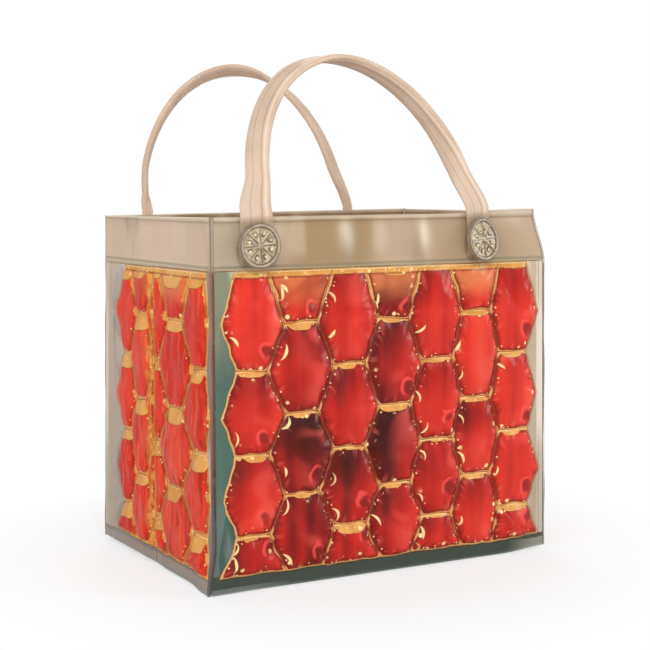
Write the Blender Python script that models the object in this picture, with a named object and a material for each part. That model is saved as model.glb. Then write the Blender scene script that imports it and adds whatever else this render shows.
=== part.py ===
# Gel-walled bottle cooler bag: four quilted clear film walls, a creased base and two strap handles.
# Units are metres, +Z is up, the front is -Y, and the origin is under the middle of the bag.
import math

import bmesh
import bpy
from mathutils import Matrix, Vector

MM = 0.001

# Whole bag, over the flat film and without the swell of the gel
bag_width = 204 * MM
bag_depth = 150 * MM
bag_height = 188 * MM
header_height = 27 * MM

# Films and the gap that two touching pieces keep
film = 0.5 * MM
header_film = 0.8 * MM
base_film = 0.8 * MM
clearance = 0.3 * MM

# Hexagonal gel cells and the weld lines between them
cell_pitch = 26.6 * MM
cell_flat = 18.7 * MM
column_sway = 3.6 * MM
row_height = 24.6 * MM
row_shrink = 1 * MM
cell_margin = 4 * MM
weld_line = 2 * MM
top_weld = 2.2 * MM
cell_shoulder = 6 * MM
cell_swell = 4 * MM
crease_shoulder = 3 * MM
crease_swell = 1.6 * MM
shoulder_share = 0.6
gel_in_line = 0.2 * MM
gel_slack = 0.45 * MM

# A gusset's columns from the back corner to the front one: middle from the crease, and flat
gusset_columns = ((-37.4 * MM, 11.6 * MM), (-16.6 * MM, 13.3 * MM), (5 * MM, 7 * MM),
                  (29.5 * MM, 18.2 * MM), (61 * MM, 16 * MM))

# Rolled hem and weld ridge of the clear header
hem_height = 2.5 * MM
ridge_height = 2 * MM

# Weld flange of the base film, turned up inside the front and back walls
flange_height = 7 * MM

# Crease of the base, just behind the origin so that the front half holds the origin
base_crease_y = 1 * MM

# Moulded handle buttons, their pins and their inner discs
button_radius = 11.5 * MM
button_thickness = 2.6 * MM
button_drop = 0.8 * MM
button_rim = 2.2 * MM
button_hub = 2.6 * MM
rib_rise = 0.6 * MM
rim_rise = 0.9 * MM
pin_radius = 3 * MM
disc_radius = 9.5 * MM
disc_thickness = 1.6 * MM
spokes = 8
spoke_inset = 0.6 * MM

# Strap handles: a soft flattened tube, pressed flat where it is riveted
handle_inset = 34.5 * MM
front_handle_shift = -9.8 * MM
back_handle_shift = -7 * MM
handle_rise = 92 * MM
strap_width = 12.5 * MM
strap_thickness = 4.2 * MM
end_width = 18 * MM
end_thickness = 2.8 * MM
end_taper = 34 * MM
front_lean = math.radians(28)
back_lean = math.radians(-22)
twist_at_crown = math.radians(90)
twist_quickness = 1.15
strap_stations = 26

# Outline of the strap's two lobes as shares of half the width and half the thickness, and its heel's rolls
lobe_shoulder = 0.82
lobe_fullness = 0.8
lobe_top = 0.45
heel_rolls = (20, 50, 78)

# Sizes that follow
wall = 2 * film + 2 * clearance + gel_in_line
half_width = bag_width / 2
handle_span = bag_width - 2 * handle_inset
half_depth = bag_depth / 2
film_top = bag_height - header_height
gel_top = film_top - top_weld
corner_x = half_width - wall
corner_y = half_depth - wall - clearance / 2
strap_back = wall + clearance
strap_axis_n = strap_back + end_thickness / 2
strap_axis_z = bag_height + clearance + clearance + end_thickness / 2
button_z = bag_height - header_height / 2 - button_drop
button_back = strap_back + end_thickness + clearance
cutter_length = 8 * wall


def weld_level(row):
    """Height of a level weld: the rows grow shorter towards the foot."""
    return gel_top - row * row_height + row_shrink * row * (row - 1) / 2


rows = max(row for row in range(1, 20) if weld_level(row) >= cell_margin)
gel_bottom = weld_level(rows)
wide_count = 2 * int((half_width - cell_margin - cell_pitch + cell_flat / 2) / cell_pitch) + 1


def material(name, colour, roughness, alpha=1.0):
    made = bpy.data.materials.new(name)
    made.use_nodes = True
    shader = made.node_tree.nodes["Principled BSDF"]
    shader.inputs["Base Color"].default_value = (*colour, 1)
    shader.inputs["Roughness"].default_value = roughness
    shader.inputs["Alpha"].default_value = alpha
    made.diffuse_color = (*colour, 1)
    return made


def clear_scene():
    for old in list(bpy.data.objects):
        bpy.data.objects.remove(old, do_unlink=True)


def axis_empty(name, place):
    """An empty on a joint's axis, for the moving pieces to hang from."""
    made = bpy.data.objects.new(name, None)
    made.empty_display_size = 0.02
    made.location = place
    bpy.context.collection.objects.link(made)
    return made


def add_piece(name, shape, finish, parent=None, smooth=False):
    """Turn a bmesh in world coordinates into a named object, hung from its joint's empty."""
    bmesh.ops.recalc_face_normals(shape, faces=shape.faces)
    if shape.calc_volume(signed=True) < 0:
        bmesh.ops.reverse_faces(shape, faces=shape.faces)
    mesh = bpy.data.meshes.new(name)
    shape.to_mesh(mesh)
    shape.free()
    made = bpy.data.objects.new(name, mesh)
    made.data.materials.append(finish)
    bpy.context.collection.objects.link(made)
    if parent is not None:
        mesh.transform(Matrix.Translation(-parent.location))
        made.parent = parent
    if smooth:
        mesh.shade_smooth()
        mesh.set_sharp_from_angle(angle=math.radians(35))
    return made


class Panel:
    """A wall or half wall: u runs along it, v up it and n outwards from the inner film's inner face."""

    def __init__(self, name, along, outward, reach, columns, start, end, foot, parent):
        self.name = name
        self.parent = parent
        self.columns = columns
        self.start = start
        self.end = end
        self.foot = foot
        up = Vector((0, 0, 1))
        origin = outward * (reach - wall)
        self.frame = Matrix.Translation(origin) @ Matrix(
            ((along.x, up.x, outward.x, 0), (along.y, up.y, outward.y, 0), (along.z, up.z, outward.z, 0),
             (0, 0, 0, 1)))

    def column(self, place):
        """Middle and flat of a column of cells; past the last ones an even net goes on."""
        beyond = max(-place, place - len(self.columns) + 1, 0)
        if not beyond:
            return self.columns[place]
        middle = self.columns[0 if place < 0 else -1][0]
        return middle + math.copysign(beyond * cell_pitch, place), cell_flat

    def crease_column(self):
        """Place of the column that the crease runs through, or None on a wall without one."""
        if self.start < 0 < self.end:
            return None
        return min(range(len(self.columns)), key=lambda place: abs(self.columns[place][0]))


def wide_columns():
    """Columns of the front and back wall; the middle ones sit a little off the middle."""
    last = (wide_count - 1) / 2
    return [(place * cell_pitch + column_sway * (1 - (place / last) ** 2), cell_flat)
            for place in (number - last for number in range(wide_count))]


def side_columns(turned):
    """Columns of a gusset, from its start to its end along u."""
    if turned:
        return [(-middle, flat) for middle, flat in reversed(gusset_columns)]
    return list(gusset_columns)


def make_panels(hinges):
    x_axis = Vector((1, 0, 0))
    y_axis = Vector((0, 1, 0))
    wide = half_width - wall - clearance
    deep = half_depth - wall - clearance
    side_foot = base_film + clearance
    far = (clearance, deep, side_foot)
    near = (-deep, -clearance, side_foot)
    left = side_columns(False)
    right = side_columns(True)
    return [
        Panel("front", x_axis, -y_axis, half_depth, wide_columns(), -wide, wide, 0, None),
        Panel("back", -x_axis, y_axis, half_depth, wide_columns(), -wide, wide, 0, hinges["back_wall"]),
        Panel("left_front", -y_axis, -x_axis, half_width, left, *far, hinges["left_front"]),
        Panel("left_back", -y_axis, -x_axis, half_width, left, *near, hinges["left_back"]),
        Panel("right_front", y_axis, x_axis, half_width, right, *near, hinges["right_front"]),
        Panel("right_back", y_axis, x_axis, half_width, right, *far, hinges["right_back"]),
    ]


def hexagon(panel, place, row):
    """Corners of the cell whose side tips lie on a level weld's row, anticlockwise."""
    middle, flat = panel.column(place)
    before, before_flat = panel.column(place - 1)
    after, after_flat = panel.column(place + 1)
    left, right = middle - flat / 2, middle + flat / 2
    foot, tips, head = (weld_level(row + step) for step in (1, 0, -1))
    return ((left, foot), (right, foot), (after - after_flat / 2, tips),
            (right, head), (left, head), (before + before_flat / 2, tips))


def cut(shape, point, normal, clear):
    geometry = shape.verts[:] + shape.edges[:] + shape.faces[:]
    bmesh.ops.bisect_plane(shape, geom=geometry, dist=0.001 * MM, plane_co=point, plane_no=normal,
                           clear_outer=clear)


def tiled_sheet(panel):
    """The panel's flat outline, divided into hexagonal tiles that share their edges."""
    shape = bmesh.new()
    column = shape.faces.layers.int.new("column")
    beyond = 2
    for place in range(-beyond, len(panel.columns) + beyond):
        for row in range(-place % 2 - 1, rows + 3, 2):
            tile = shape.faces.new([shape.verts.new((u, v, 0)) for u, v in hexagon(panel, place, row)])
            tile[column] = place
    bmesh.ops.remove_doubles(shape, verts=shape.verts, dist=0.01 * MM)
    cut(shape, (panel.start, 0, 0), (-1, 0, 0), True)
    cut(shape, (panel.end, 0, 0), (1, 0, 0), True)
    cut(shape, (0, panel.foot, 0), (0, -1, 0), True)
    cut(shape, (0, film_top, 0), (0, 1, 0), True)
    cut(shape, (0, gel_top, 0), (0, 1, 0), False)
    cut(shape, (0, gel_bottom, 0), (0, 1, 0), False)
    return shape


def cell_faces(shape, panel):
    """The tiles that hold gel, each with its shoulder and swell: less where the wall creases."""
    cells = []
    column = shape.faces.layers.int["column"]
    for face in shape.faces:
        middle = face.calc_center_median()
        roomy = face.calc_area() > cell_flat * row_height / 4
        if gel_bottom < middle.y < gel_top and 0 <= face[column] < len(panel.columns) and roomy:
            on_crease = face[column] == panel.crease_column()
            cells.append((face, crease_shoulder, crease_swell) if on_crease
                         else (face, cell_shoulder, cell_swell))
    return cells


def swell_cells(shape, cells, border, rise_less):
    """Draw each tile in by the border, then raise its middle into a dome, lower where the tile is slim."""
    for face, shoulder, swell in cells:
        corners = [vert.co.copy() for vert in face.verts]
        middle = face.calc_center_median_weighted()
        inner_radius = 2 * face.calc_area() / sum(edge.calc_length() for edge in face.edges)
        reach = min(border + shoulder, shoulder_share * inner_radius)
        top = swell * (reach - border) / shoulder - rise_less
        for inward, rise in ((border, 0), (reach, top)):
            bmesh.ops.inset_individual(shape, faces=[face], thickness=0)
            for vert, corner in zip(face.verts, corners):
                vert.co = corner.lerp(middle, inward / inner_radius) + face.normal * rise


def add_outer_film(panel, finish):
    shape = tiled_sheet(panel)
    bmesh.ops.translate(shape, verts=shape.verts, vec=(0, 0, wall))
    for face in shape.faces:
        face.normal_update()
        if face.normal.z < 0:
            face.normal_flip()
    swell_cells(shape, cell_faces(shape, panel), weld_line / 2, 0)
    shape.transform(panel.frame)
    made = add_piece(panel.name + "_outer_film", shape, finish, panel.parent)
    skin = made.modifiers.new("Film thickness", "SOLIDIFY")
    skin.thickness = film
    skin.offset = -1
    skin.use_even_offset = True
    return made


def add_gel_layer(panel, finish):
    """One body of gel per panel: thin along the weld lines, and a pillow in each cell."""
    shape = tiled_sheet(panel)
    bmesh.ops.translate(shape, verts=shape.verts, vec=(0, 0, film + clearance))
    for face in shape.faces:
        face.normal_update()
        if face.normal.z < 0:
            face.normal_flip()
    kept = [cell[0] for cell in cell_faces(shape, panel)]
    dry = [face for face in shape.faces if face not in kept]
    bmesh.ops.delete(shape, geom=dry, context="FACES")
    grown = bmesh.ops.extrude_face_region(shape, geom=shape.faces[:])["geom"]
    bmesh.ops.translate(shape, verts=[item for item in grown if isinstance(item, bmesh.types.BMVert)],
                        vec=(0, 0, gel_in_line))
    lower = film + clearance + gel_in_line / 2
    floor = [face for face in shape.faces if all(vert.co.z < lower for vert in face.verts)]
    bmesh.ops.dissolve_faces(shape, faces=floor)
    bmesh.ops.recalc_face_normals(shape, faces=shape.faces)
    border = weld_line / 2 + 2 * clearance
    top = [cell for cell in cell_faces(shape, panel) if all(vert.co.z > lower for vert in cell[0].verts)]
    swell_cells(shape, top, border, gel_slack)
    shape.transform(panel.frame)
    return add_piece(panel.name + "_gel", shape, finish, panel.parent)


def box_shape(low, high):
    shape = bmesh.new()
    bmesh.ops.create_cube(shape, size=1)
    size = Vector(high) - Vector(low)
    middle = (Vector(high) + Vector(low)) / 2
    shape.transform(Matrix.Translation(middle) @ Matrix.Diagonal((*size, 1)))
    return shape


def add_inner_film(panel, finish):
    shape = box_shape((panel.start, panel.foot, 0), (panel.end, film_top, film))
    shape.transform(panel.frame)
    return add_piece(panel.name + "_inner_film", shape, finish, panel.parent)


def extruded(profile, axis_start, axis_end, place):
    """A closed profile pushed straight from one end to the other; place turns (p, q, run) into a point."""
    shape = bmesh.new()
    face = shape.faces.new([shape.verts.new(place(p, q, axis_start)) for p, q in profile])
    grown = bmesh.ops.extrude_face_region(shape, geom=[face])["geom"]
    moved = [item for item in grown if isinstance(item, bmesh.types.BMVert)]
    step = Vector(place(0, 0, axis_end)) - Vector(place(0, 0, axis_start))
    bmesh.ops.translate(shape, verts=moved, vec=step)
    return shape


def cutter_finish():
    return bpy.data.materials.get("cutter") or material("cutter", (0.5, 0.5, 0.5), 0.5)


def pin_cutter(name, panel, u):
    """The hole that a button's pin passes through, as a cutter across the wall."""
    shape = bmesh.new()
    bmesh.ops.create_cone(shape, cap_ends=True, segments=16, radius1=pin_radius + clearance,
                          radius2=pin_radius + clearance, depth=cutter_length)
    shape.transform(panel.frame @ Matrix.Translation((u, button_z, wall)))
    made = add_piece(name, shape, cutter_finish(), panel.parent)
    made.hide_render = True
    made.display_type = "WIRE"
    return made


def drill(piece, cutter):
    hole = piece.modifiers.new("Pin hole", "BOOLEAN")
    hole.operation = "DIFFERENCE"
    hole.object = cutter


def add_header(panel, finish, holes):
    """Clear band above the cells: weld ridge at its foot, plain film, and a rolled hem at the rim."""
    foot = film_top + clearance
    inner = (wall - header_film) / 2
    outer = inner + header_film
    hem = bag_height - hem_height
    ridge = foot + ridge_height
    lip = film / 2
    profile = ((inner - lip, foot), (outer + lip, foot), (outer + lip, ridge), (outer, ridge + lip),
               (outer, hem - lip), (wall, hem), (wall, bag_height - lip), (wall - lip, bag_height),
               (lip, bag_height), (0, bag_height - lip), (0, hem), (inner, hem - lip),
               (inner, ridge + lip), (inner - lip, ridge))
    shape = extruded(profile, panel.start, panel.end, lambda n, v, u: (u, v, n))
    shape.transform(panel.frame)
    made = add_piece(panel.name + "_header", shape, finish, panel.parent)
    for number, u in enumerate(holes):
        drill(made, pin_cutter(f"{panel.name}_header_cutter_{number}", panel, u))
    return made


def add_corner_seam(name, side_x, side_y, finish, parent):
    """Welded vertical corner: a square strip whose outer corner is rounded over."""
    steps = 4
    near = half_width - wall
    deep = half_depth - wall
    profile = [(near, deep)]
    for step in range(steps + 1):
        turn = math.radians(90) * step / steps
        profile.append((near + wall * math.cos(turn), deep + wall * math.sin(turn)))
    shape = extruded(profile, 0, bag_height, lambda x, y, z: (side_x * x, side_y * y, z))
    return add_piece(name, shape, finish, parent, smooth=True)


def add_base_half(name, side_y, finish, parent):
    """Half of the base film, from its weld at a wall to the crease across the middle."""
    reach = half_width - clearance
    ends = (base_crease_y + side_y * clearance, side_y * (flange_inner_y() - clearance / 2))
    shape = box_shape((-reach, min(ends), 0), (reach, max(ends), base_film))
    return add_piece(name, shape, finish, parent)


def flange_inner_y():
    return half_depth - wall - clearance - film - clearance


def add_base_flange(name, panel, finish):
    foot = base_film + film
    reach = panel.end - wall
    shape = box_shape((-reach, foot, -clearance - film), (reach, foot + flange_height, -clearance))
    shape.transform(panel.frame)
    return add_piece(name, shape, finish, panel.parent)


def turned(profile, segments, closed):
    """A profile of (radius, height) points spun round the local height axis."""
    shape = bmesh.new()
    verts = [shape.verts.new((radius, 0, height)) for radius, height in profile]
    edges = [shape.edges.new(pair) for pair in zip(verts, verts[1:])]
    if closed:
        edges.append(shape.edges.new((verts[-1], verts[0])))
    bmesh.ops.spin(shape, geom=verts + edges, cent=(0, 0, 0), axis=(0, 0, 1), angle=math.tau,
                   steps=segments, use_merge=True)
    bmesh.ops.remove_doubles(shape, verts=shape.verts, dist=0.005 * MM)
    return shape


def add_button(name, panel, u, finish):
    """Moulded button: pin, flange, raised rim, and a hub with spokes on a sunk face."""
    segments = 3 * spokes
    face = button_thickness
    inner = button_radius - button_rim
    spoke_end = inner - spoke_inset
    pin_end = -(button_back - clearance + disc_thickness - clearance)
    profile = ((0, pin_end), (pin_radius, pin_end), (pin_radius, 0), (button_radius, 0),
               (button_radius, face), (button_radius - rim_rise, face + rim_rise),
               (inner, face + rim_rise), (inner, face), (spoke_end, face), (button_hub, face), (0, face))
    shape = turned(profile, segments, False)
    raised = []
    for item in shape.faces:
        middle = item.calc_center_median()
        flat = abs(middle.z - face) < 0.01 * MM
        radius = math.hypot(middle.x, middle.y)
        sector = int((math.atan2(middle.y, middle.x) % math.tau) / (math.tau / segments))
        on_spoke = sector % 3 == 0 and radius < spoke_end
        if flat and (radius < button_hub or on_spoke):
            raised.append(item)
    grown = bmesh.ops.extrude_face_region(shape, geom=raised)["geom"]
    bmesh.ops.translate(shape, verts=[item for item in grown if isinstance(item, bmesh.types.BMVert)],
                        vec=(0, 0, rib_rise))
    bmesh.ops.delete(shape, geom=[item for item in raised if item.is_valid], context="FACES")
    shape.transform(panel.frame @ Matrix.Translation((u, button_z, button_back)))
    return add_piece(name, shape, finish, panel.parent, smooth=True)


def add_disc(name, panel, u, finish):
    """Inner disc that the button's pin is welded into."""
    bore = pin_radius + clearance
    profile = ((bore, 0), (disc_radius, 0), (disc_radius - disc_thickness / 2, -disc_thickness),
               (bore, -disc_thickness))
    shape = turned(profile, 16, True)
    shape.transform(panel.frame @ Matrix.Translation((u, button_z, -clearance)))
    return add_piece(name, shape, finish, panel.parent, smooth=True)


def add_handle_end(name, panel, u, finish):
    """The strap's pressed flat end, riveted between the button and the header."""
    steps = 12
    half = end_width / 2
    outline = []
    for step in range(steps + 1):
        turn = math.pi + math.pi * step / steps
        outline.append((u + half * math.cos(turn), button_z + half * math.sin(turn)))
    top = strap_axis_z - end_thickness / 2 - clearance
    outline += [(u + half, top), (u - half, top)]
    shape = extruded(outline, strap_back, strap_back + end_thickness, lambda a, b, n: (a, b, n))
    shape.transform(panel.frame)
    made = add_piece(name, shape, finish, panel.parent)
    drill(made, pin_cutter(name + "_cutter", panel, u))
    return made


def smooth_step(value):
    value = max(0.0, min(1.0, value))
    return value * value * (3 - 2 * value)


def strap_section(width, thickness):
    """Half of a flattened tube's outline and its mirror: two lobes with a shallow waist."""
    side = width / 2
    lobe = thickness / 2
    upper = ((side, 0), (lobe_shoulder * side, lobe_fullness * lobe), (lobe_top * side, lobe),
             (-lobe_top * side, lobe), (-lobe_shoulder * side, lobe_fullness * lobe))
    return upper + tuple((-a, -b) for a, b in upper)


def strap_place(turn):
    """Point, width and thickness of the strap in its own arch plane, at a turn from 0 to pi."""
    across = -handle_span / 2 * math.cos(turn)
    rise = handle_rise * math.sin(turn)
    blend = smooth_step(rise / end_taper)
    width = end_width + (strap_width - end_width) * blend
    thickness = end_thickness + (strap_thickness - end_thickness) * blend
    return across, rise, width, thickness


def strap_rings(lean, inward, twist):
    """The strap's rings: flat on the wall at both ends, turned edge-on over the crown."""
    up = Vector((0, inward * math.sin(lean), math.cos(lean)))
    rings = []
    turns = [math.pi * step / strap_stations for step in range(strap_stations + 1)]
    for number, turn in enumerate(turns):
        across, rise, width, thickness = strap_place(turn)
        tangent = Vector((math.sin(turn) * handle_span / 2, 0, 0)) + up * math.cos(turn) * handle_rise
        tangent.normalize()
        twisted = smooth_step(rise / handle_rise * twist_quickness) * twist_at_crown
        side = Matrix.Rotation(twist * twisted, 3, "Z") @ Vector((1, 0, 0))
        side = (side - tangent * side.dot(tangent)).normalized()
        thick = tangent.cross(side)
        centre = Vector((across, 0, 0)) + up * rise
        ring = [centre + side * a + thick * b for a, b in strap_section(width, thickness)]
        if number in (0, strap_stations):
            caps = []
            for roll in heel_rolls:
                sink = end_thickness / 2 * math.sin(math.radians(roll))
                thin = end_thickness * math.cos(math.radians(roll))
                foot = centre - up * sink
                caps.append([foot + side * a + thick * b for a, b in strap_section(width, thin)])
            rings += caps[::-1] + [ring] if number == 0 else [ring] + caps
        else:
            rings.append(ring)
    return rings


def add_handle(name, lean, inward, twist, finish, parent):
    shape = bmesh.new()
    rings = [[shape.verts.new(point) for point in ring] for ring in strap_rings(lean, inward, twist)]
    count = len(rings[0])
    for lower, upper in zip(rings, rings[1:]):
        for index in range(count):
            after = (index + 1) % count
            shape.faces.new((lower[index], lower[after], upper[after], upper[index]))
    shape.faces.new(rings[0])
    shape.faces.new(rings[-1])
    bmesh.ops.translate(shape, verts=shape.verts, vec=parent.location)
    return add_piece(name, shape, finish, parent, smooth=True)


def make_hinges():
    """Empties on the joint axes: wall corners, wall creases, base creases and handle bends."""
    base_y = flange_inner_y()
    strap_y = half_depth - wall + strap_axis_n
    places = {
        "left_front": (-corner_x, -corner_y, 0),
        "left_back": (-half_width, 0, 0),
        "back_wall": (-corner_x, corner_y, 0),
        "right_front": (corner_x, -corner_y, 0),
        "right_back": (half_width, 0, 0),
        "base_front": (0, -base_y, base_film),
        "base_back": (0, base_y, base_film),
        "front_handle": (front_handle_shift, -strap_y, strap_axis_z),
        "back_handle": (back_handle_shift, strap_y, strap_axis_z),
    }
    return {name: axis_empty(name + "_axis", place) for name, place in places.items()}


def main():
    clear_scene()
    clear = material("clear_film", (0.62, 0.66, 0.62), 0.12, alpha=0.55)
    gel = material("red_gel", (0.78, 0.05, 0.02), 0.18)
    header = material("header_film", (0.55, 0.48, 0.42), 0.15, alpha=0.6)
    seam = material("weld_seam", (0.45, 0.5, 0.46), 0.2)
    strap = material("clear_strap", (0.74, 0.62, 0.54), 0.1, alpha=0.6)
    moulded = material("clear_moulding", (0.7, 0.64, 0.58), 0.12)
    hinges = make_hinges()
    panels = make_panels(hinges)
    half_span = handle_span / 2
    for panel in panels:
        holes = ()
        if panel.name == "front":
            holes = (front_handle_shift - half_span, front_handle_shift + half_span)
        if panel.name == "back":
            holes = (half_span - back_handle_shift, -half_span - back_handle_shift)
        add_outer_film(panel, clear)
        add_gel_layer(panel, gel)
        add_inner_film(panel, clear)
        add_header(panel, header, holes)
        for side, u in zip(("left", "right"), holes):
            add_button(f"{panel.name}_{side}_button", panel, u, moulded)
            add_disc(f"{panel.name}_{side}_button_disc", panel, u, moulded)
            add_handle_end(f"{panel.name}_{side}_strap_end", panel, u, strap)
        if panel.name in ("front", "back"):
            add_base_flange(panel.name + "_base_flange", panel, clear)
    add_corner_seam("front_left_corner_seam", -1, -1, seam, None)
    add_corner_seam("front_right_corner_seam", 1, -1, seam, None)
    add_corner_seam("back_left_corner_seam", -1, 1, seam, hinges["back_wall"])
    add_corner_seam("back_right_corner_seam", 1, 1, seam, hinges["back_wall"])
    add_base_half("base_front_film", -1, clear, hinges["base_front"])
    add_base_half("base_back_film", 1, clear, hinges["base_back"])
    add_handle("front_handle_strap", front_lean, 1, -1, strap, hinges["front_handle"])
    add_handle("back_handle_strap", back_lean, -1, 1, strap, hinges["back_handle"])
    bpy.context.view_layer.update()


main()
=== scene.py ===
"""Clear gel-walled cooler bag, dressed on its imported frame. Lengths are metres, +Z is up, the front is -Y."""
import math
from typing import NamedTuple

import bmesh
import bpy
from bpy.props import FloatProperty, FloatVectorProperty, IntProperty
from mathutils import Matrix, Vector, noise


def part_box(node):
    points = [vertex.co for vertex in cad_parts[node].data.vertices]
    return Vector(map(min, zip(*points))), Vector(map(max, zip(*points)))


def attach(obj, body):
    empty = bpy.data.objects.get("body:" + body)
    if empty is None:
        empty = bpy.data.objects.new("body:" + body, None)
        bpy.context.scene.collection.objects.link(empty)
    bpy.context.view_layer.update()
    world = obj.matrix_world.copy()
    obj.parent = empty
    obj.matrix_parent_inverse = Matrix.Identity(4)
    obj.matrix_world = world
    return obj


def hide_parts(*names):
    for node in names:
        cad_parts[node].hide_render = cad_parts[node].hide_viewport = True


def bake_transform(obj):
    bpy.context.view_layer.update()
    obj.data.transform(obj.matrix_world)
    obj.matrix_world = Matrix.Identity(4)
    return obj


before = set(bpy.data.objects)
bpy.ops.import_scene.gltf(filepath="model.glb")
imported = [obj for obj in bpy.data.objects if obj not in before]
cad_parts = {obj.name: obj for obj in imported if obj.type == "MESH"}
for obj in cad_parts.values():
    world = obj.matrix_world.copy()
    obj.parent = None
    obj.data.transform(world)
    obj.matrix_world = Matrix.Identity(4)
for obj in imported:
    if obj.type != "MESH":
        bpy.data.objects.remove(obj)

bl_info = {
    "name": "Gel Cooler Bag",
    "version": (1, 0, 0),
    "blender": (4, 5, 0),
    "location": "View3D > Sidebar > Cooler Bag",
    "description": "Models a clear bottle cooler bag with quilted gel walls on its packed frame",
    "category": "Add Mesh",
}

MM = 0.001
UP = Vector((0, 0, 1))
CORNER_LOW, CORNER_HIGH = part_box("front_left_corner_seam")
HALF_WIDTH = -CORNER_LOW.x
HALF_DEPTH = -CORNER_LOW.y
HEIGHT = CORNER_HIGH.z


def smooth(value, low=0.0, high=1.0):
    """0 up to low, 1 from high, and an even S between them; low over high turns it round."""
    share = max(0.0, min(1.0, (value - low) / (high - low)))
    return share * share * (3 - 2 * share)


def hump(away, width):
    """1 at the middle of a hump, falling to nothing on both sides."""
    return math.exp(-(away / width) ** 2)


def screen(red, green, blue):
    """A screen colour of 0 to 255 as the linear colour that a shader takes."""
    return tuple((part / 255 / 12.92) if part <= 10 else ((part / 255 + 0.055) / 1.055) ** 2.4
                 for part in (red, green, blue))


def length(label, about, millimetres):
    return FloatProperty(name=label, description=about, default=millimetres * MM, unit="LENGTH", precision=5)


def lengths(label, about, *millimetres):
    return FloatVectorProperty(name=label, description=about, size=len(millimetres), unit="LENGTH",
                               default=tuple(each * MM for each in millimetres))


def colour(label, about, *tint):
    return FloatVectorProperty(name=label, description=about, default=screen(*tint), subtype="COLOR",
                               min=0, max=1)


class CoolerWallSizes(bpy.types.PropertyGroup):
    """Sizes of the quilted walls."""

    flat_width: length("Flat width", "Length of the level weld at a cell's head and foot", 18.7)
    column_pitch: length("Column pitch", "Distance between two columns of cells", 26.6)
    column_sway: length("Column sway", "How far the middle column sits off the middle of the wall", 3.6)
    wander: length("Wander", "How far a weld's corner strays from the even net", 1.5)
    bow: length("Bow", "How far a weld bows between its corners", 0.9)
    swell: length("Swell", "How far the gel stands out of the wall", 3.6)
    swell_width: length("Swell width", "Distance from the weld over which a cell rises", 8.5)
    inside_swell: length("Inside swell", "How far the gel stands into the bag", 1.2)
    pace: length("Mesh pace", "Distance between mesh points along a weld", 1.7)
    levels: lengths("Weld levels", "Heights of the net's level welds, from the top",
                    160.8, 134.1, 110.7, 87.5, 67.4, 45.1, 26.2, 7.5)
    side_columns: lengths("Gusset columns", "Middles of a gusset's columns from its crease, back to front",
                          -37.4, -16.6, 5, 29.5, 61)
    side_flats: lengths("Gusset flats", "Level welds of a gusset's columns", 11.6, 13.3, 7, 18.2, 16)
    corner_flare: length("Corner flare", "How far the front left corner spreads at its foot", 3.4)
    foot_sag: length("Foot sag", "How far the front's foot hangs below the back's", 1.8)


class CoolerStrapSizes(bpy.types.PropertyGroup):
    """Sizes of the handles and their buttons."""

    rise: length("Rise", "Height of a handle's arch over its bend", 92)
    span: length("Span", "Distance between the middles of a handle's two feet", 135)
    front_shift: length("Front shift", "Distance of the front handle from the middle of the bag", -9.8)
    back_shift: length("Back shift", "Distance of the back handle from the middle of the bag", -7)
    width: length("Width", "Width of the free strap", 12.5)
    thickness: length("Thickness", "Thickness of the free strap", 4.2)
    foot_width: length("Foot width", "Width of the strap's pressed foot", 18)
    foot_thickness: length("Foot thickness", "Thickness of the strap's pressed foot", 2.8)
    foot_length: length("Foot length", "Height over which the foot turns into the free strap", 34)
    foot_end: length("Foot end", "Width of the pressed foot under its button", 18.973666)
    spokes: IntProperty(name="Spokes", description="Number of spokes on a button", default=8, min=3)


class CoolerColours(bpy.types.PropertyGroup):
    """Colours of the gel, the films and the straps."""

    gel: colour("Gel", "Gel in a full cell", 184, 34, 24)
    # Also used for the painted shade along the welds and in each cell's painted hollow.
    gel_deep_and_shade: colour("Deep gel", "Gel where a cell is fullest", 104, 18, 12)
    gel_bright: colour("Bright gel", "Gel where a cell lets most light through", 224, 54, 38)
    amber: colour("Amber", "Gel where it is pressed thin", 228, 162, 80)
    weld: colour("Weld", "Welded line between two cells", 232, 172, 104)
    film_teal: colour("Teal film", "Clear film in the shade by the front left corner", 78, 114, 100)
    film_grey: colour("Grey film", "Clear film where light falls on it", 202, 180, 152)
    film_dark: colour("Dark film", "Clear film over the foot of the bag", 64, 76, 66)
    header: colour("Header", "Clear header band", 190, 166, 138)
    header_shade: colour("Header shade", "Darker streaks of the header band", 160, 134, 94)
    header_side: colour("Header side", "Clear header band of a gusset", 222, 192, 164)
    strap: colour("Strap", "Clear strap", 196, 170, 148)
    # Also the painted shade along the strap's edges where they turn from view.
    strap_lines_and_edge_shade: colour("Strap edge", "Ribs and edges of the strap", 134, 108, 88)
    moulding: colour("Moulding", "Clear moulded buttons", 190, 170, 136)
    moulding_line: colour("Moulding line", "Ribs and rims of the buttons", 92, 82, 72)


class CoolerStage(bpy.types.PropertyGroup):
    """The camera."""

    azimuth: FloatProperty(name="Azimuth", description="Camera's turn round the bag, in degrees",
                           default=-28.2088)
    pitch: FloatProperty(name="Pitch", description="Camera's height over the bag, as an angle in radians",
                         default=0.092)
    roll: FloatProperty(name="Roll", description="Camera's tilt in its picture, in radians", default=0.0062)
    distance: length("Distance", "From the camera to the bag's middle", 883.27)
    aside: length("Aside", "Camera's shift to its right", 2.92)
    above: length("Above", "Camera's shift upwards", 30.02)
    lens: FloatProperty(name="Lens", description="Focal length in millimetres on a 36 mm frame",
                        default=85.752)


def operation(name, turned=False):
    """A method that adds a Math node, for one of Python's operators or under a plain name."""
    def method(self, other):
        values = (other, self) if turned else (self, other)
        return self.finish.node("ShaderNodeMath", {"operation": name}, dict(enumerate(values)))
    return method


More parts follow.
